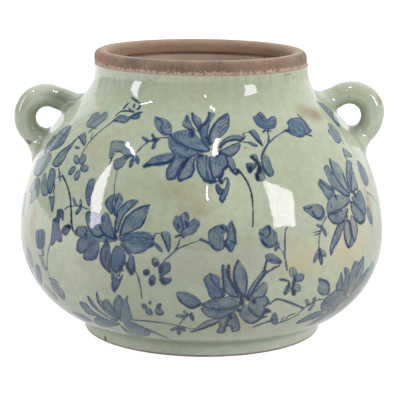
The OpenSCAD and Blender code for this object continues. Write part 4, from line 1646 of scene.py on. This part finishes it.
def nearest(
    places: np.ndarray, line: np.ndarray, widths: np.ndarray, closed: bool
) -> tuple[np.ndarray, np.ndarray]:
    """Measures places against a line whose half width changes along it.

    Args:
        places: The places, a row for each.
        line: The line's points.
        widths: Half the line's width at each point.
        closed: Whether the line returns to its first point.

    Returns:
        The least distance as a share of the half width there, and that distance.
    """
    start, end = line, np.roll(line, -1, axis=0)
    first, last = widths, np.roll(widths, -1)
    if not closed:
        start, end, first, last = start[:-1], end[:-1], first[:-1], last[:-1]
    span = end - start
    size = np.maximum((span**2).sum(axis=1), 1e-9)
    away = places[:, None, :] - start[None, :, :]
    share = np.clip((away * span).sum(axis=2) / size, 0.0, 1.0)
    distance = np.linalg.norm(away - share[:, :, None] * span, axis=2)
    ratio = distance / (first + (last - first) * share)
    best = ratio.argmin(axis=1)
    rows = np.arange(len(places))
    return ratio[rows, best], distance[rows, best]


def within(places: np.ndarray, loop: np.ndarray) -> np.ndarray:
    """Tells which places lie inside a closed loop."""
    start, end = loop, np.roll(loop, -1, axis=0)
    rise = end[:, 1] - start[:, 1]
    rise = np.where(np.abs(rise) < 1e-9, 1e-9, rise)
    level = places[:, 1, None]
    crosses = (start[:, 1] > level) != (end[:, 1] > level)
    side = start[:, 0] + (level - start[:, 1]) * (end[:, 0] - start[:, 0]) / rise
    return (crosses & (places[:, 0, None] < side)).sum(axis=1) % 2 == 1


class Painter:
    """Lays the sprays on the pot as the photograph shows them, and again behind.

    A stain's size in pixels is SPREAD millimetres each, round and up the face.
    """

    SIDES: Pair = (0.0, math.pi)
    SPREAD: Pair = (0.7, 0.65)

    def __init__(self, outline: JarOutline, camera: PhotoCamera) -> None:
        """Works out where each mark and stain falls on the pot."""
        self.laid = []
        for name, spray in SPRAYS.items():
            places = (0.0, SIDE_SPRAYS[name]) if name in SIDE_SPRAYS else (0.0,)
            for mark in read_marks(spray):
                turn, length, radius = camera.fall(outline, mark.curve())
                middle = float(np.median(turn))
                across = (turn - middle) * radius
                laid = np.stack([across, length], axis=1)
                self.laid += [LaidMark(middle + place, laid, mark) for place in places]
        centres = np.array([stain.centre for stain in STAINS], float)
        turns, lengths, _ = camera.fall(outline, centres)
        self.stains = list(zip(STAINS, turns, lengths))

    def paint(self, canvas: Canvas) -> None:
        """Paints one stretch of wall."""
        for turned in self.SIDES:
            for laid in self.laid:
                canvas.lay(laid, turned)
            for stain, turn, length in self.stains:
                size = (stain.size[0] * self.SPREAD[0], stain.size[1] * self.SPREAD[1])
                canvas.blot(float(turn) + turned, float(length), size, stain.strength)
        canvas.dry()


# ------------------------------------------------------------------ the pieces


@dataclass
class GlazedWall:
    """One turned stretch of the glazed wall, its outer face dense enough to paint."""

    name: str
    node: str
    outline: JarOutline
    outer: list[Section]
    inner: list[Section]
    cuts: int
    sectors: int = 64

    def build(self, materials: list[bpy.types.Material], painter: Painter) -> bpy.types.Object:
        """Spins the wall, shades it and paints it.

        Args:
            materials: The outer glaze and the inner slip.
            painter: The painter of the outer face.

        Returns:
            The finished piece.
        """
        loop = [p[:2] for p in self.outer] + [p[:2] for p in reversed(self.inner)]
        bm = turned_solid(loop, self.sectors, self.cuts)
        piece = finish_piece(bm, self.name, materials, (self.node,), self.outline)
        co = vertices_mm(piece.data, self.outline)
        outside = np.hypot(co[:, 0], co[:, 1]) > self._middle(co[:, 2])
        self._shade(piece.data, co, outside)
        painter.paint(Canvas(piece.data, self.outline, outside))
        return piece

    def _shade(self, mesh: bpy.types.Mesh, co: np.ndarray, outside: np.ndarray) -> None:
        """Gives the two faces their materials and the outline's own normals."""
        faces = len(mesh.polygons)
        centres = np.zeros(faces * 3, np.float32)
        mesh.polygons.foreach_get("center", centres)
        centres = centres.reshape(-1, 3) / MM
        inward = np.hypot(centres[:, 0], centres[:, 1]) < self._middle(centres[:, 2])
        mesh.polygons.foreach_set("material_index", inward.astype(np.int32))
        radial, upward = self.outline.normal_at(self._facing_height(co, outside))
        sign = np.where(outside, 1.0, -1.0)
        turn = np.arctan2(co[:, 1], co[:, 0])
        normals = np.stack([radial * np.cos(turn), radial * np.sin(turn), upward], axis=1)
        normals[:, 2] -= self.outline.lean * normals[:, 0]
        normals *= (sign / np.linalg.norm(normals, axis=1))[:, None]
        mesh.normals_split_custom_set_from_vertices(normals.tolist())

    def _middle(self, height: np.ndarray) -> np.ndarray:
        """Returns the radius midway between the two faces at each height."""
        faces = (np.array(face) for face in (self.outer, self.inner))
        return sum(np.interp(height, face[:, 1], face[:, 0]) for face in faces) / 2

    def _facing_height(self, co: np.ndarray, outside: np.ndarray) -> np.ndarray:
        """Returns the outer face's height that shares each vertex's normal."""
        outer, inner = np.array(self.outer), np.array(self.inner)
        share = np.interp(co[:, 2], inner[:, 1], np.linspace(0.0, 1.0, len(inner)))
        stretched = np.interp(share, np.linspace(0.0, 1.0, len(outer)), outer[:, 1])
        return np.where(outside, co[:, 2], stretched)


@dataclass
class Jar:
    """The thrown body: bowl, belly, shoulder and neck, each in stretches of wall."""

    outline: JarOutline
    step: float = 0.68
    coarse: float = 9.0

    def _split(self, name: str, node: str, arc: Arc, cuts: int, parts: int) -> list[GlazedWall]:
        """Divides one arc of the wall into stretches.

        Args:
            name: Name of the arc's pieces.
            node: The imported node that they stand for.
            arc: The arc.
            cuts: Cuts in each of the wall's sectors.
            parts: Number of stretches.

        Returns:
            The stretches from the arc's start to its end.
        """
        o = self.outline
        walls = []
        for i in range(parts):
            start = arc.start + (arc.end - arc.start) * i / parts
            end = arc.start + (arc.end - arc.start) * (i + 1) / parts
            piece = Arc(arc.centre, arc.radius, start, end, arc.hollow)
            word = f"{name}_{i + 1}" if parts > 1 else name
            outer, inner = piece.line(self.step), piece.line(self.coarse, o.wall)
            walls.append(GlazedWall(word, node, o, outer, inner, cuts))
        return walls

    def stretches(self) -> list[GlazedWall]:
        """Returns the wall's stretches from the foot up."""
        o = self.outline
        low = Arc(o.bowl.centre, o.bowl.radius, o.floor_turn, 0.0)
        walls = []
        for name, node, arc, cuts, parts in (
            ("glazed_bowl", "lower_bowl", low, 20, 2),
            ("glazed_belly", "shoulder", o.belly, 20, 2),
            ("glazed_shoulder", "shoulder", o.shoulder, 17, 2),
            ("glazed_neck", "neck_collar", o.hollow, 12, 1),
        ):
            walls += self._split(name, node, arc, cuts, parts)
        neck = walls[-1]
        neck.outer.append((o.neck_r, o.neck_top, 1.0, 0.0))
        neck.inner.append((o.neck_r - o.wall, o.neck_top, 1.0, 0.0))
        return walls


@dataclass
class FloorDisc:
    """The flat floor inside, with its worn drain hole, and the bowl's underside."""

    outline: JarOutline
    hole_round: float = 2.0
    clear_of_hole: float = 6.0
    clear_of_bowl: float = 4.0
    hole_step: float = 0.5
    bowl_step: float = 2.0
    rings: int = 8
    sectors: int = 32
    cuts: int = 3

    def build(self, materials: list[bpy.types.Material]) -> bpy.types.Object:
        """Spins the floor from its section."""
        o = self.outline
        low, high = o.base_lift, o.base_lift + o.wall
        round_r = self.hole_round
        rim = o.bowl
        flat_to = rim.centre[0] - self.clear_of_bowl
        flat = np.linspace(o.drain_r + self.clear_of_hole, flat_to, self.rings)
        hole_low = Arc((o.drain_r + round_r, low + round_r), round_r, 180.0, 270.0)
        hole_high = Arc((o.drain_r + round_r, high - round_r), round_r, 90.0, 180.0)
        under = Arc(rim.centre, rim.radius, -90.0, o.floor_turn)
        over = Arc(rim.centre, rim.radius - o.wall, o.floor_turn, -90.0)
        loop = hole_low.points(self.hole_step)
        loop += [(r, low) for r in flat]
        loop += under.points(self.bowl_step)
        loop += over.points(self.bowl_step)
        loop += [(r, high) for r in flat[::-1]]
        loop += hole_high.points(self.hole_step)
        bm = turned_solid(loop, self.sectors, self.cuts)
        middle = (low + high) / 2
        for face in bm.faces:
            face.material_index = int(face.calc_center_median().z < middle)
        return finish_piece(bm, "floor_disc", materials, ("base_floor",), o)


@dataclass
class FootRing:
    """The turned foot: a low glazed wall that runs into the bowl by a pooled cove."""

    outline: JarOutline
    cove: float = 2.4
    lap: float = 1.0
    lap_in: Pair = (1.5, 1.2)
    edge_step: float = 0.4
    cove_step: float = 0.3
    inner_rings: int = 5
    outer_rings: int = 7
    sectors: int = 48
    cuts: int = 7

    def build(self, materials: list[bpy.types.Material]) -> bpy.types.Object:
        """Spins the foot ring from its section, which laps into the bowl's wall."""
        o = self.outline
        outer, inner = o.foot_r, o.foot_r - o.foot_w
        r = o.foot_round
        bowl = o.bowl
        # The cove is an arc that touches the bowl's face and the foot's side.
        across = outer + self.cove - bowl.centre[0]
        reach = math.sqrt((bowl.radius + self.cove) ** 2 - across**2)
        centre = (outer + self.cove, bowl.centre[1] - reach)
        turn = math.degrees(math.atan2(bowl.centre[1] - centre[1], bowl.centre[0] - centre[0]))
        cove = Arc(centre, self.cove, 180.0, turn, hollow=True)
        inner_top = bowl.centre[1] - math.sqrt(bowl.radius**2 - (inner - bowl.centre[0]) ** 2)
        inside = np.linspace(inner_top + self.lap, r, self.inner_rings)
        outside = np.linspace(r, centre[1], self.outer_rings)
        loop = [(inner, z) for z in inside[:-1]]
        loop += Arc((inner + r, r), r, 180.0, 270.0).points(self.edge_step)
        loop += Arc((outer - r, r), r, 270.0, 360.0).points(self.edge_step)
        loop += [(outer, z) for z in outside[1:-1]]
        loop += cove.points(self.cove_step)
        radius, height = loop[-1]
        loop.append((radius - self.lap_in[0], height + self.lap_in[1]))
        bm = turned_solid(loop, self.sectors, self.cuts)
        return finish_piece(bm, "glazed_foot", materials, ("foot_ring",), o)


@dataclass
class RimBand:
    """The bare rolled rim, which overhangs the neck's inner wall."""

    outline: JarOutline
    corner: float = 1.2
    sharp: float = 0.3
    rooted: float = 0.5
    root_in: float = 3.0
    wobble: float = 0.22
    wobble_scale: Triple = (0.035, 0.035, 0.09)
    shift: float = -0.35
    lift: float = 3.0
    seed: float = 3.7
    edge_step: float = 0.2
    roll_step: float = 0.5
    corner_step: float = 0.4
    face_rings: int = 7
    sectors: int = 64
    cuts: int = 5

    def build(self, materials: list[bpy.types.Material]) -> bpy.types.Object:
        """Spins the rim from its section and presses it slightly out of true."""
        o = self.outline
        band = o.neck_r + o.rim_proud
        roll, c = o.rim_roll, self.corner
        low, high = o.neck_top, o.pot_h
        edge = self.sharp
        foot = low - self.rooted
        face = np.linspace(foot + edge, high - roll, self.face_rings)
        loop = Arc((band - edge, foot + edge), edge, 270.0, 360.0).points(self.edge_step)
        loop += [(band, z) for z in face[1:-1]]
        loop += Arc((band - roll, high - roll), roll, 0.0, 90.0).points(self.roll_step)
        inner = Arc((o.mouth_r + roll, high - roll), roll, 90.0, 180.0)
        loop += inner.points(self.roll_step)
        loop += Arc((o.mouth_r + c, low + c), c, 180.0, 270.0).points(self.corner_step)
        loop += [(o.neck_r - self.root_in, low), (o.neck_r - self.root_in, foot)]
        bm = turned_solid(loop, self.sectors, self.cuts)
        for v in bm.verts:
            place = v.co * Vector(self.wobble_scale) + Vector((0.0, 0.0, self.seed))
            push = noise.noise(place)
            outward = Vector((v.co.x, v.co.y, 0.0)).normalized()
            lifted = min(1.0, max(0.0, v.co.z - low) / self.lift)
            v.co += outward * push * self.wobble * lifted
            v.co.x += self.shift * lifted
        return finish_piece(bm, "bare_rim", materials, ("rim_band",), o)


@dataclass(frozen=True)
class Station:
    """One place down the ear, where the roll has a ring of its own.

    The centre lies in the ear's plane, and the angle is that of the roll's outer
    side. The arm is -1 above the loop, 0 on it and 1 below it.
    """

    centre: Vector
    angle: float
    flare: float
    arm: int


@dataclass
class Ear:
    """A clay roll bent to a loop, its flared ends pressed and smoothed on the shoulder.

    The sizes are named as in the part's source. Inside the loop, up to pool_and_shade_rise
    off the shoulder, glaze lies thick and shade is painted; in the creases, up to
    crease_rise, glaze lies thick.
    """

    name: str
    node: str
    side: float
    outline: JarOutline
    ear_share: float = 0.54
    standoff: float = 6.0
    loop_r: float = 15.7
    roll_r: float = 8.1
    upper_root: float = 10.3
    lower_root: float = 16.0
    root_side: float = 16.5
    upper_flare: float = 2.0
    lower_flare: float = 1.35
    seat_rise: float = 18.2
    seat_fall: float = 17.0
    upper_sink: float = 6.4
    lower_sink: float = 7.7
    swell: float = 1.2
    swell_turn: float = 60.0
    flange: float = 3.4
    buried: float = 6.0
    arm_steps: int = 40
    loop_steps: int = 56
    roll_sides: int = 72
    dent: float = 0.35
    dent_scale: float = 0.085
    flange_scale: float = 0.16
    seed: float = 9.1
    # Strength of the thick glaze and of the painted shade inside the loop.
    pooled: float = 1.0
    pool_and_shade_rise: float = 9.0
    pool_and_shade_low: float = 0.38
    pool_and_shade_power: float = 1.6
    crease_share: float = 0.5
    crease_rise: float = 2.4
    bead_rise: float = 1.6
    bead_spread: float = 1.5

    def _frame(self) -> tuple[Vector, Vector, Vector, Vector]:
        """Places the ear on the shoulder.

        Returns:
            The loop's foot on the shoulder, its outward and its upward direction,
            and its middle, all in the ear's plane.
        """
        radius, height, out_r, out_z = self.outline.shoulder.at(self.ear_share)
        foot, out = Vector((radius, height)), Vector((out_r, out_z))
        return foot, out, Vector((-out_z, out_r)), foot + self.standoff * out

    def stations(self) -> list[Station]:
        """Returns the stations down the ear, from the upper seat to the lower."""
        foot, out, up, middle = self._frame()
        upper = foot + self.seat_rise * up - self.upper_sink * out
        lower = foot - self.seat_fall * up - self.lower_sink * out
        first = self._leave(upper - middle, -1.0)
        last = self._leave(lower - middle, 1.0)
        turns = [first + (last - first) * i / self.loop_steps for i in range(self.loop_steps + 1)]
        loop = [Station(self._on_loop(middle, turn), turn, 0.0, 0) for turn in turns]
        above, below = self._arm(upper, loop[0], -1), self._arm(lower, loop[-1], 1)
        return above[::-1] + loop + below

    def _arm(self, seat: Vector, end: Station, arm: int) -> list[Station]:
        """Returns the stations from one end of the loop until past its seat."""
        past = 1.0 + self.buried / (seat - end.centre).length
        power = self.upper_flare if arm < 0 else self.lower_flare
        shares = [past * i / self.arm_steps for i in range(1, self.arm_steps + 1)]
        return [
            Station(end.centre.lerp(seat, share), end.angle, min(1.0, share**power), arm)
            for share in shares
        ]

    def _leave(self, seat: Vector, turn: float) -> float:
        """Returns the angle at which an arm leaves the loop towards its seat."""
        angle = math.atan2(seat.y, seat.x) + turn * math.acos(self.loop_r / seat.length)
        return angle - math.tau if angle > math.pi else angle

    def _on_loop(self, middle: Vector, angle: float) -> Vector:
        """Returns the roll's middle at an angle about the loop."""
        return middle + self.loop_r * Vector((math.cos(angle), math.sin(angle)))

    def _ring(self, bm: bmesh.types.BMesh, station: Station) -> list[bmesh.types.BMVert]:
        """Adds the roll's ring at one station."""
        circle = bmesh.ops.create_circle(bm, cap_ends=False, radius=1.0, segments=self.roll_sides)
        ring = circle["verts"]
        root = self.upper_root if station.arm < 0 else self.lower_root
        radius = self.roll_r + (root - self.roll_r) * station.flare
        side = self.roll_r + (self.root_side - self.roll_r) * station.flare
        facing = max(0.0, math.cos(station.angle - math.radians(self.swell_turn)))
        swell = self.swell / 2 * facing**3 * (1.0 - station.flare)
        out = Vector((math.cos(station.angle), 0.0, math.sin(station.angle)))
        across = Vector((0.0, 1.0, 0.0))
        axes = Matrix((out * (radius + swell), across * side, out.cross(across))).transposed()
        centre = Vector((station.centre.x, 0.0, station.centre.y))
        place = Matrix.Translation(centre + out * swell)
        bmesh.ops.transform(bm, matrix=place @ axes.to_4x4(), verts=ring)
        return list(ring)

    def build(self, materials: list[bpy.types.Material]) -> bpy.types.Object:
        """Bridges the roll's rings and presses its ends on the shoulder."""
        bm = bmesh.new()
        rings = [self._ring(bm, station) for station in self.stations()]
        for first, second in zip(rings, rings[1:]):
            bmesh.ops.bridge_loops(bm, edges=_ring_edges(first) + _ring_edges(second))
        for ring in (rings[0], rings[-1]):
            bmesh.ops.contextual_create(bm, geom=_ring_edges(ring))
        self._press(bm)
        if self.side < 0:
            bmesh.ops.scale(bm, vec=(-1.0, 1.0, 1.0), verts=bm.verts)
        piece = finish_piece(bm, self.name, materials, (self.node,), self.outline)
        self._store_pool_and_shade(piece.data)
        return piece

    def _store_pool_and_shade(self, mesh: bpy.types.Mesh) -> None:
        """Stores where the glaze lies thick, inside the loop and along the creases, with painted
        shade inside the loop.
        """
        co = vertices_mm(mesh, self.outline)
        radial, _ = self.outline.normal_at(co[:, 2])
        proud = (np.hypot(co[:, 0], co[:, 1]) - self.outline.radius_at(co[:, 2])) * radial
        middle = self._frame()[3]
        from_middle = np.hypot(self.side * co[:, 0] - middle.x, co[:, 2] - middle.y)
        inner = np.clip((self.loop_r + 1.5 - from_middle) / (self.roll_r + 1.0), 0.0, 1.0)
        near = np.exp(-((np.maximum(proud, 0.0) / self.pool_and_shade_rise) ** 2))
        crease = np.exp(-((np.maximum(proud, 0.0) / self.crease_rise) ** 2))
        # Inside the loop, strongest near the shoulder: thick glaze and painted shade.
        loop_pool_and_shade = inner**self.pool_and_shade_power * (self.pool_and_shade_low + (1.0 - self.pool_and_shade_low) * near)
        thick = np.maximum(loop_pool_and_shade, self.crease_share * crease) * self.pooled
        store(mesh, "pool_and_shade", np.clip(thick, 0.0, 1.0))
        store(mesh, "beads", np.exp(-(((proud - self.bead_rise) / self.bead_spread) ** 2)))

    def _press(self, bm: bmesh.types.BMesh) -> None:
        """Spreads the ends into a thin flange on the shoulder and dents the roll by hand."""
        in_pot = [Vector((flat.x, 0.0, flat.y)) for flat in self._frame()]
        foot, outward, upward, middle = in_pot
        for v in bm.verts:
            push = noise.noise(v.co * self.dent_scale + Vector((0.0, self.seed + self.side, 0.0)))
            normal = self._normal(v.co.z, v.co)
            proud = math.hypot(v.co.x, v.co.y) - float(self.outline.radius_at(v.co.z))
            height = proud * math.hypot(normal.x, normal.y)
            above = (v.co - middle).dot(upward) > 0
            away = v.co - foot - upward * (self.seat_rise if above else -self.seat_fall)
            away -= normal * away.dot(normal)
            flange = self.flange * (1.0 + 0.5 * noise.noise(v.co * self.flange_scale))
            if height < flange and away.length > 1e-6:
                share = max(0.0, height) / flange
                grow = flange * (1 - math.sqrt(max(0.0, 1 - (1 - share) ** 2)))
                v.co += away.normalized() * grow
            v.co += outward * push * self.dent * min(1.0, max(0.0, height / 6))
            if height < -self.buried:
                v.co -= normal * (height + self.buried)

    def _normal(self, height: float, place: Vector) -> Vector:
        """Returns the shoulder's outward normal at a height, on the side of place."""
        radial, upward = self.outline.normal_at(height)
        flat = Vector((place.x, place.y, 0.0)).normalized()
        return Vector((flat.x * float(radial), flat.y * float(radial), float(upward)))


def _ring_edges(ring: list[bmesh.types.BMVert]) -> list[bmesh.types.BMEdge]:
    """Returns the edges that lie between the vertices of one ring."""
    members = set(ring)
    found = {e for v in ring for e in v.link_edges if e.other_vert(v) in members}
    return list(found)


# ------------------------------------------------------------------- the stage


@dataclass(frozen=True)
class Softbox:
    """A flat studio light, given by the directions of its four corners.

    Each corner is an azimuth, counted from the front towards the right ear, and
    an elevation, in degrees as seen from the pot's middle.
    """

    name: str
    corners: tuple[Pair, Pair, Pair, Pair]
    radiance: float
    distance: float = 1.2
    aim: float = 0.11
    sheen_only: bool = False
    tint: Colour = (1.02, 0.95, 1.1, 1.0)

    def build(self) -> bpy.types.Object:
        """Makes the light."""
        bm = bmesh.new()
        ring = bmesh.ops.create_circle(bm, cap_ends=True, radius=1.0, segments=4)["verts"]
        ring.sort(key=lambda v: math.atan2(v.co.y, v.co.x))
        for v, (azimuth, elevation) in zip(ring, self.corners):
            a, e = math.radians(azimuth), math.radians(elevation)
            way = Vector((math.sin(a) * math.cos(e), -math.cos(a) * math.cos(e), math.sin(e)))
            v.co = way * self.distance + Vector((0.0, 0.0, self.aim))
        material = bpy.data.materials.new(self.name)
        nodes = Nodes(material)
        glow = nodes.add("Emission", {"Color": self.tint, "Strength": self.radiance})
        nodes.add("OutputMaterial", {"Surface": glow.outputs["Emission"]})
        light = put(self.name, bm, [material])
        light.visible_camera = False
        light.visible_diffuse = not self.sheen_only
        return light


@dataclass(frozen=True)
class Studio:
    """The white studio: a pale floor, a white backdrop and soft boxes at both sides.

    Each fade goes from its first to its last place: azimuths in radians from
    the front, the upward part of a direction, or metres over the floor. Each
    sheen is the share of the light that the glaze mirrors.
    """

    floor_size: float = 12.0
    front: float = 0.32
    left: float = 1.68
    left_fade: Pair = (-2.46, -2.36)
    right: float = 1.72
    right_fade: Pair = (0.7, 2.7)
    side_sheen: float = 0.66
    above: float = 1.42
    above_fade: Pair = (0.35, 0.95)
    above_sheen: float = 0.35
    cool: Colour = (0.95, 1.0, 1.08, 1.0)
    cool_fade: Pair = (-1.6, 0.4)
    floor_pale: float = 0.3
    floor_dim: float = 0.28
    floor_seen: float = 0.95
    floor_fade: Pair = (0.22, 0.9)
    near_sheen: float = 0.6
    far_sheen: float = 1.05
    across_fade: Pair = (0.02, 0.35)
    right_share: float = 0.45
    boxes: tuple[Softbox, ...] = (
        Softbox("right_softbox", ((46.7, 34.0), (61.0, 24.2), (57.5, 8.8), (44.8, 6.9)), 9.0),
        Softbox("left_softbox", ((-72.0, 39.0), (-75.5, 22.5), (-68.5, 2.2), (-60.2, 5.4)), 9.3),
        Softbox(
            "left_gap",
            ((-80.0, 50.4), (-79.0, 51.7), (-59.5, 48.4), (-60.3, 46.8)),
            42.0,
            sheen_only=True,
        ),
        Softbox(
            "top_gap",
            ((22.3, 70.0), (25.3, 69.6), (12.4, 56.4), (11.0, 56.4)),
            60.0,
            sheen_only=True,
        ),
        Softbox(
            "front_gap",
            ((4.3, 37.0), (5.3, 37.0), (4.8, 29.5), (3.9, 29.5)),
            60.0,
            sheen_only=True,
        ),
    )

    def build(self) -> None:
        """Makes the floor, the world's light and the soft boxes."""
        self._floor()
        self._world()
        for box in self.boxes:
            box.build()
        scene = bpy.context.scene
        scene.view_settings.view_transform = "Standard"
        scene.view_settings.look = "None"

    def _floor(self) -> None:
        """Makes the pale floor."""
        bm = bmesh.new()
        bmesh.ops.create_grid(bm, x_segments=4, y_segments=4, size=self.floor_size / 2)
        material = bpy.data.materials.new("studio_floor")
        nodes = Nodes(material)
        ray = nodes.add("LightPath").outputs
        place = nodes.place()
        sheen = nodes.band(nodes.length(place), *self.floor_fade, self.near_sheen, self.far_sheen)
        across = nodes.band(nodes.part(place, "X"), *self.across_fade, 1.0, self.right_share)
        mirrored = nodes.times(ray["Is Glossy Ray"], nodes.times(sheen, across))
        seen = nodes.times(ray["Is Camera Ray"], self.floor_seen)
        glow = nodes.most(nodes.most(mirrored, self.floor_dim), seen)
        matt = {"Base Color": (*(self.floor_pale,) * 3, 1.0), "Roughness": 0.9}
        lit = {"Specular IOR Level": 0.0, "Emission Color": WHITE, "Emission Strength": glow}
        nodes.surface({**matt, **lit})
        floor = put("studio_floor", bm, [material])

    def _world(self) -> None:
        """Lights the room: white behind the pot, dimmer behind the camera."""
        world = bpy.data.worlds.new("studio_world")
        bpy.context.scene.world = world
        nodes = Nodes(world)
        ray = nodes.add("LightPath").outputs
        way = nodes.add("TexCoord").outputs["Generated"]
        x, y, z = nodes.add("SeparateXYZ", {"Vector": way}).outputs
        azimuth = nodes.math("ARCTAN2", x, nodes.times(y, -1.0))
        left = nodes.band(azimuth, *self.left_fade, self.left, self.front)
        right = nodes.band(azimuth, *self.right_fade, self.front, self.right)
        sides = nodes.times(nodes.most(left, right), self._sheen(nodes, ray, self.side_sheen))
        above = nodes.band(z, *self.above_fade, 0.0, self.above)
        above = nodes.times(above, self._sheen(nodes, ray, self.above_sheen))
        level = nodes.most(nodes.most(sides, above), ray["Is Camera Ray"])
        unseen = nodes.band(ray["Is Camera Ray"], 0.0, 1.0, 1.0, 0.0)
        cool = nodes.times(nodes.band(azimuth, *self.cool_fade, 1.0, 0.0), unseen)
        tint = nodes.mix(cool, WHITE, self.cool)
        glow = nodes.add("Background", {"Color": tint, "Strength": level})
        nodes.add("OutputWorld", {"Surface": glow.outputs["Background"]})

    def _sheen(self, nodes: Nodes, ray: bpy.types.NodeOutputs, share: float) -> Socket:
        """Returns share for the rays that the glaze mirrors, and 1 for all others."""
        return nodes.band(ray["Is Glossy Ray"], 0.0, 1.0, 1.0, share)


# ------------------------------------------------------------------- assembly


SPECK = srgb("8A7358")
RUN = srgb("8E9A7E")

PAINTED_GLAZE = Celadon(
    "celadon_painted",
    Brush.COBALT,
    under=(
        # A broad soft darker patch across the front of the belly.
        Spot((-1.2, -128.5, 77.6), (54.0, 60.0, 21.0), srgb("8C9177"), 0.46, soft=True),
        Spot((98.0, -82.0, 84.0), (17.0, 24.0, 22.0), srgb("CDBF98"), 0.75, soft=True),
        Spot((65.0, -110.0, 74.0), (17.0, 24.0, 14.0), srgb("C6BC94"), 0.65, soft=True),
    ),
    spots=(
        Spot((97.0, -66.0, 34.0), (22.0, 26.0, 24.0), srgb("8B8870"), 0.5, soft=True),
        Spot((69.0, -52.0, 163.6), (7.5, 11.0, 4.6), srgb("978A62"), 0.85, soft=True),
        Spot((76.5, -46.0, 160.4), (8.0, 11.0, 5.4), srgb("8C7B54"), 1.0, soft=True),
        Spot((-59.0, -46.5, 180.0), (0.8, 4.0, 9.0), RUN, 0.35, soft=True),
        Spot((-55.5, -50.5, 178.0), (0.9, 4.0, 10.0), RUN, 0.35, soft=True),
        Spot((-51.0, -55.0, 180.0), (0.8, 4.0, 8.0), RUN, 0.3, soft=True),
        Spot((-35.0, -66.9, 185.6), (2.2, 5.0, 0.8), SPECK, 0.55),
        Spot((-39.0, -64.8, 183.0), (0.9, 4.0, 0.7), SPECK, 0.5),
        Spot((57.6, -46.7, 187.6), (3.4, 7.0, 1.0), SPECK, 0.55),
        Spot((62.0, -41.0, 185.0), (1.6, 5.0, 0.8), SPECK, 0.4),
    ),
)
FOOT_GLAZE = Celadon(
    "celadon_foot",
    green=srgb("C1C9AD"),
    pale=srgb("D2DAC1"),
    stain_share=0.35,
    clay=BareClay("foot_clay", main=srgb("A8977F"), dark=srgb("8F7C66"), red=srgb("AE8A6C")),
    spots=(Spot((-65.5, -52.0, 2.6), (0.9, 4.0, 2.8), srgb("2E2A26"), 0.95),),
)
EAR_GLAZE = Celadon(
    "celadon_ears",
    green=srgb("B9C3A4"),
    pale=srgb("CBD3B8"),
    stain=srgb("B3AC8E"),
    deep=srgb("6A785E"),
    stain_share=0.3,
    roughness=0.06,
    specular=0.66,
    pool_and_shade_share=1.0,
    spots=(
        Spot((-122.8, -9.0, 132.9), (4.8, 14.0, 1.9), srgb("443A30"), 0.9),
        Spot((125.6, -4.0, 165.4), (3.0, 12.0, 4.0), srgb("A98A68"), 0.75),
        # Painted shade where the left ear's upper arm meets the shoulder.
        Spot((-99.0, -7.0, 162.5), (12.0, 13.0, 8.5), srgb("5E6D52"), 0.8, soft=True),
        # Painted shade where the left ear's lower arm meets the shoulder.
        Spot((-113.0, -5.0, 135.0), (10.0, 16.0, 9.0), srgb("6F7D64"), 0.5, soft=True),
        # Painted shade on the outer part of the left ear's loop.
        Spot((-126.0, -6.0, 152.0), (9.0, 16.0, 18.0), srgb("8B967A"), 0.5, soft=True),
    ),
)
RIM_CLAY = BareClay(
    "bare_rim",
    edge_top=191.5,
    crest=199.0,
    spots=(
        Spot((-72.0, -26.0, 194.0), (9.0, 16.0, 7.0), srgb("9A6650"), 0.5),
        Spot((-64.5, -40.5, 190.5), (1.2, 4.0, 2.6), srgb("3F3028"), 0.9),
        Spot((-62.0, 44.0, 194.0), (16.0, 16.0, 5.0), srgb("9A6650"), 0.4),
        Spot((52.0, 42.0, 192.0), (9.0, 12.0, 4.0), srgb("4A3B31"), 0.75),
    ),
)


def ears(outline: JarOutline) -> tuple[Ear, Ear]:
    """Returns the two ears, alike but each bent and pressed by hand."""
    left = Ear(
        "left_loop_ear",
        "left_ear",
        -1.0,
        outline,
        ear_share=0.5,
        standoff=6.1,
        loop_r=15.6,
        roll_r=7.75,
        upper_root=8.6,
        seat_rise=21.6,
        upper_sink=10.0,
        swell=0.9,
        swell_turn=77.0,
    )
    right = Ear(
        "right_loop_ear",
        "right_ear",
        1.0,
        outline,
        ear_share=0.6,
        standoff=5.2,
        loop_r=15.95,
        roll_r=7.7,
        upper_root=9.9,
        lower_root=12.5,
        seat_rise=18.3,
        seat_fall=16.3,
        upper_sink=4.4,
        lower_sink=5.6,
        swell=1.9,
        swell_turn=38.0,
        # The right ear has less thick glaze and painted shade than the left.
        pooled=0.8,
    )
    return left, right


def main() -> None:
    """Builds the pot piece by piece, then the camera and the studio."""
    logging.basicConfig(level=logging.INFO, format="%(message)s")
    outline = JarOutline(pot_h=199.0, rim_proud=-0.6)
    camera = PhotoCamera()
    painter = Painter(outline, camera)
    painted, slip = PAINTED_GLAZE.material(), InnerGlaze().material()
    for wall in Jar(outline).stretches():
        wall.build([painted, slip], painter)
    FloorDisc(outline).build([slip, BareClay().material()])
    FootRing(outline).build([FOOT_GLAZE.material()])
    RimBand(outline).build([RIM_CLAY.material()])
    ear_glaze = EAR_GLAZE.material()
    for ear in ears(outline):
        ear.build([ear_glaze])
    camera.build()
    Studio().build()


if __name__ == "__main__":
    main()
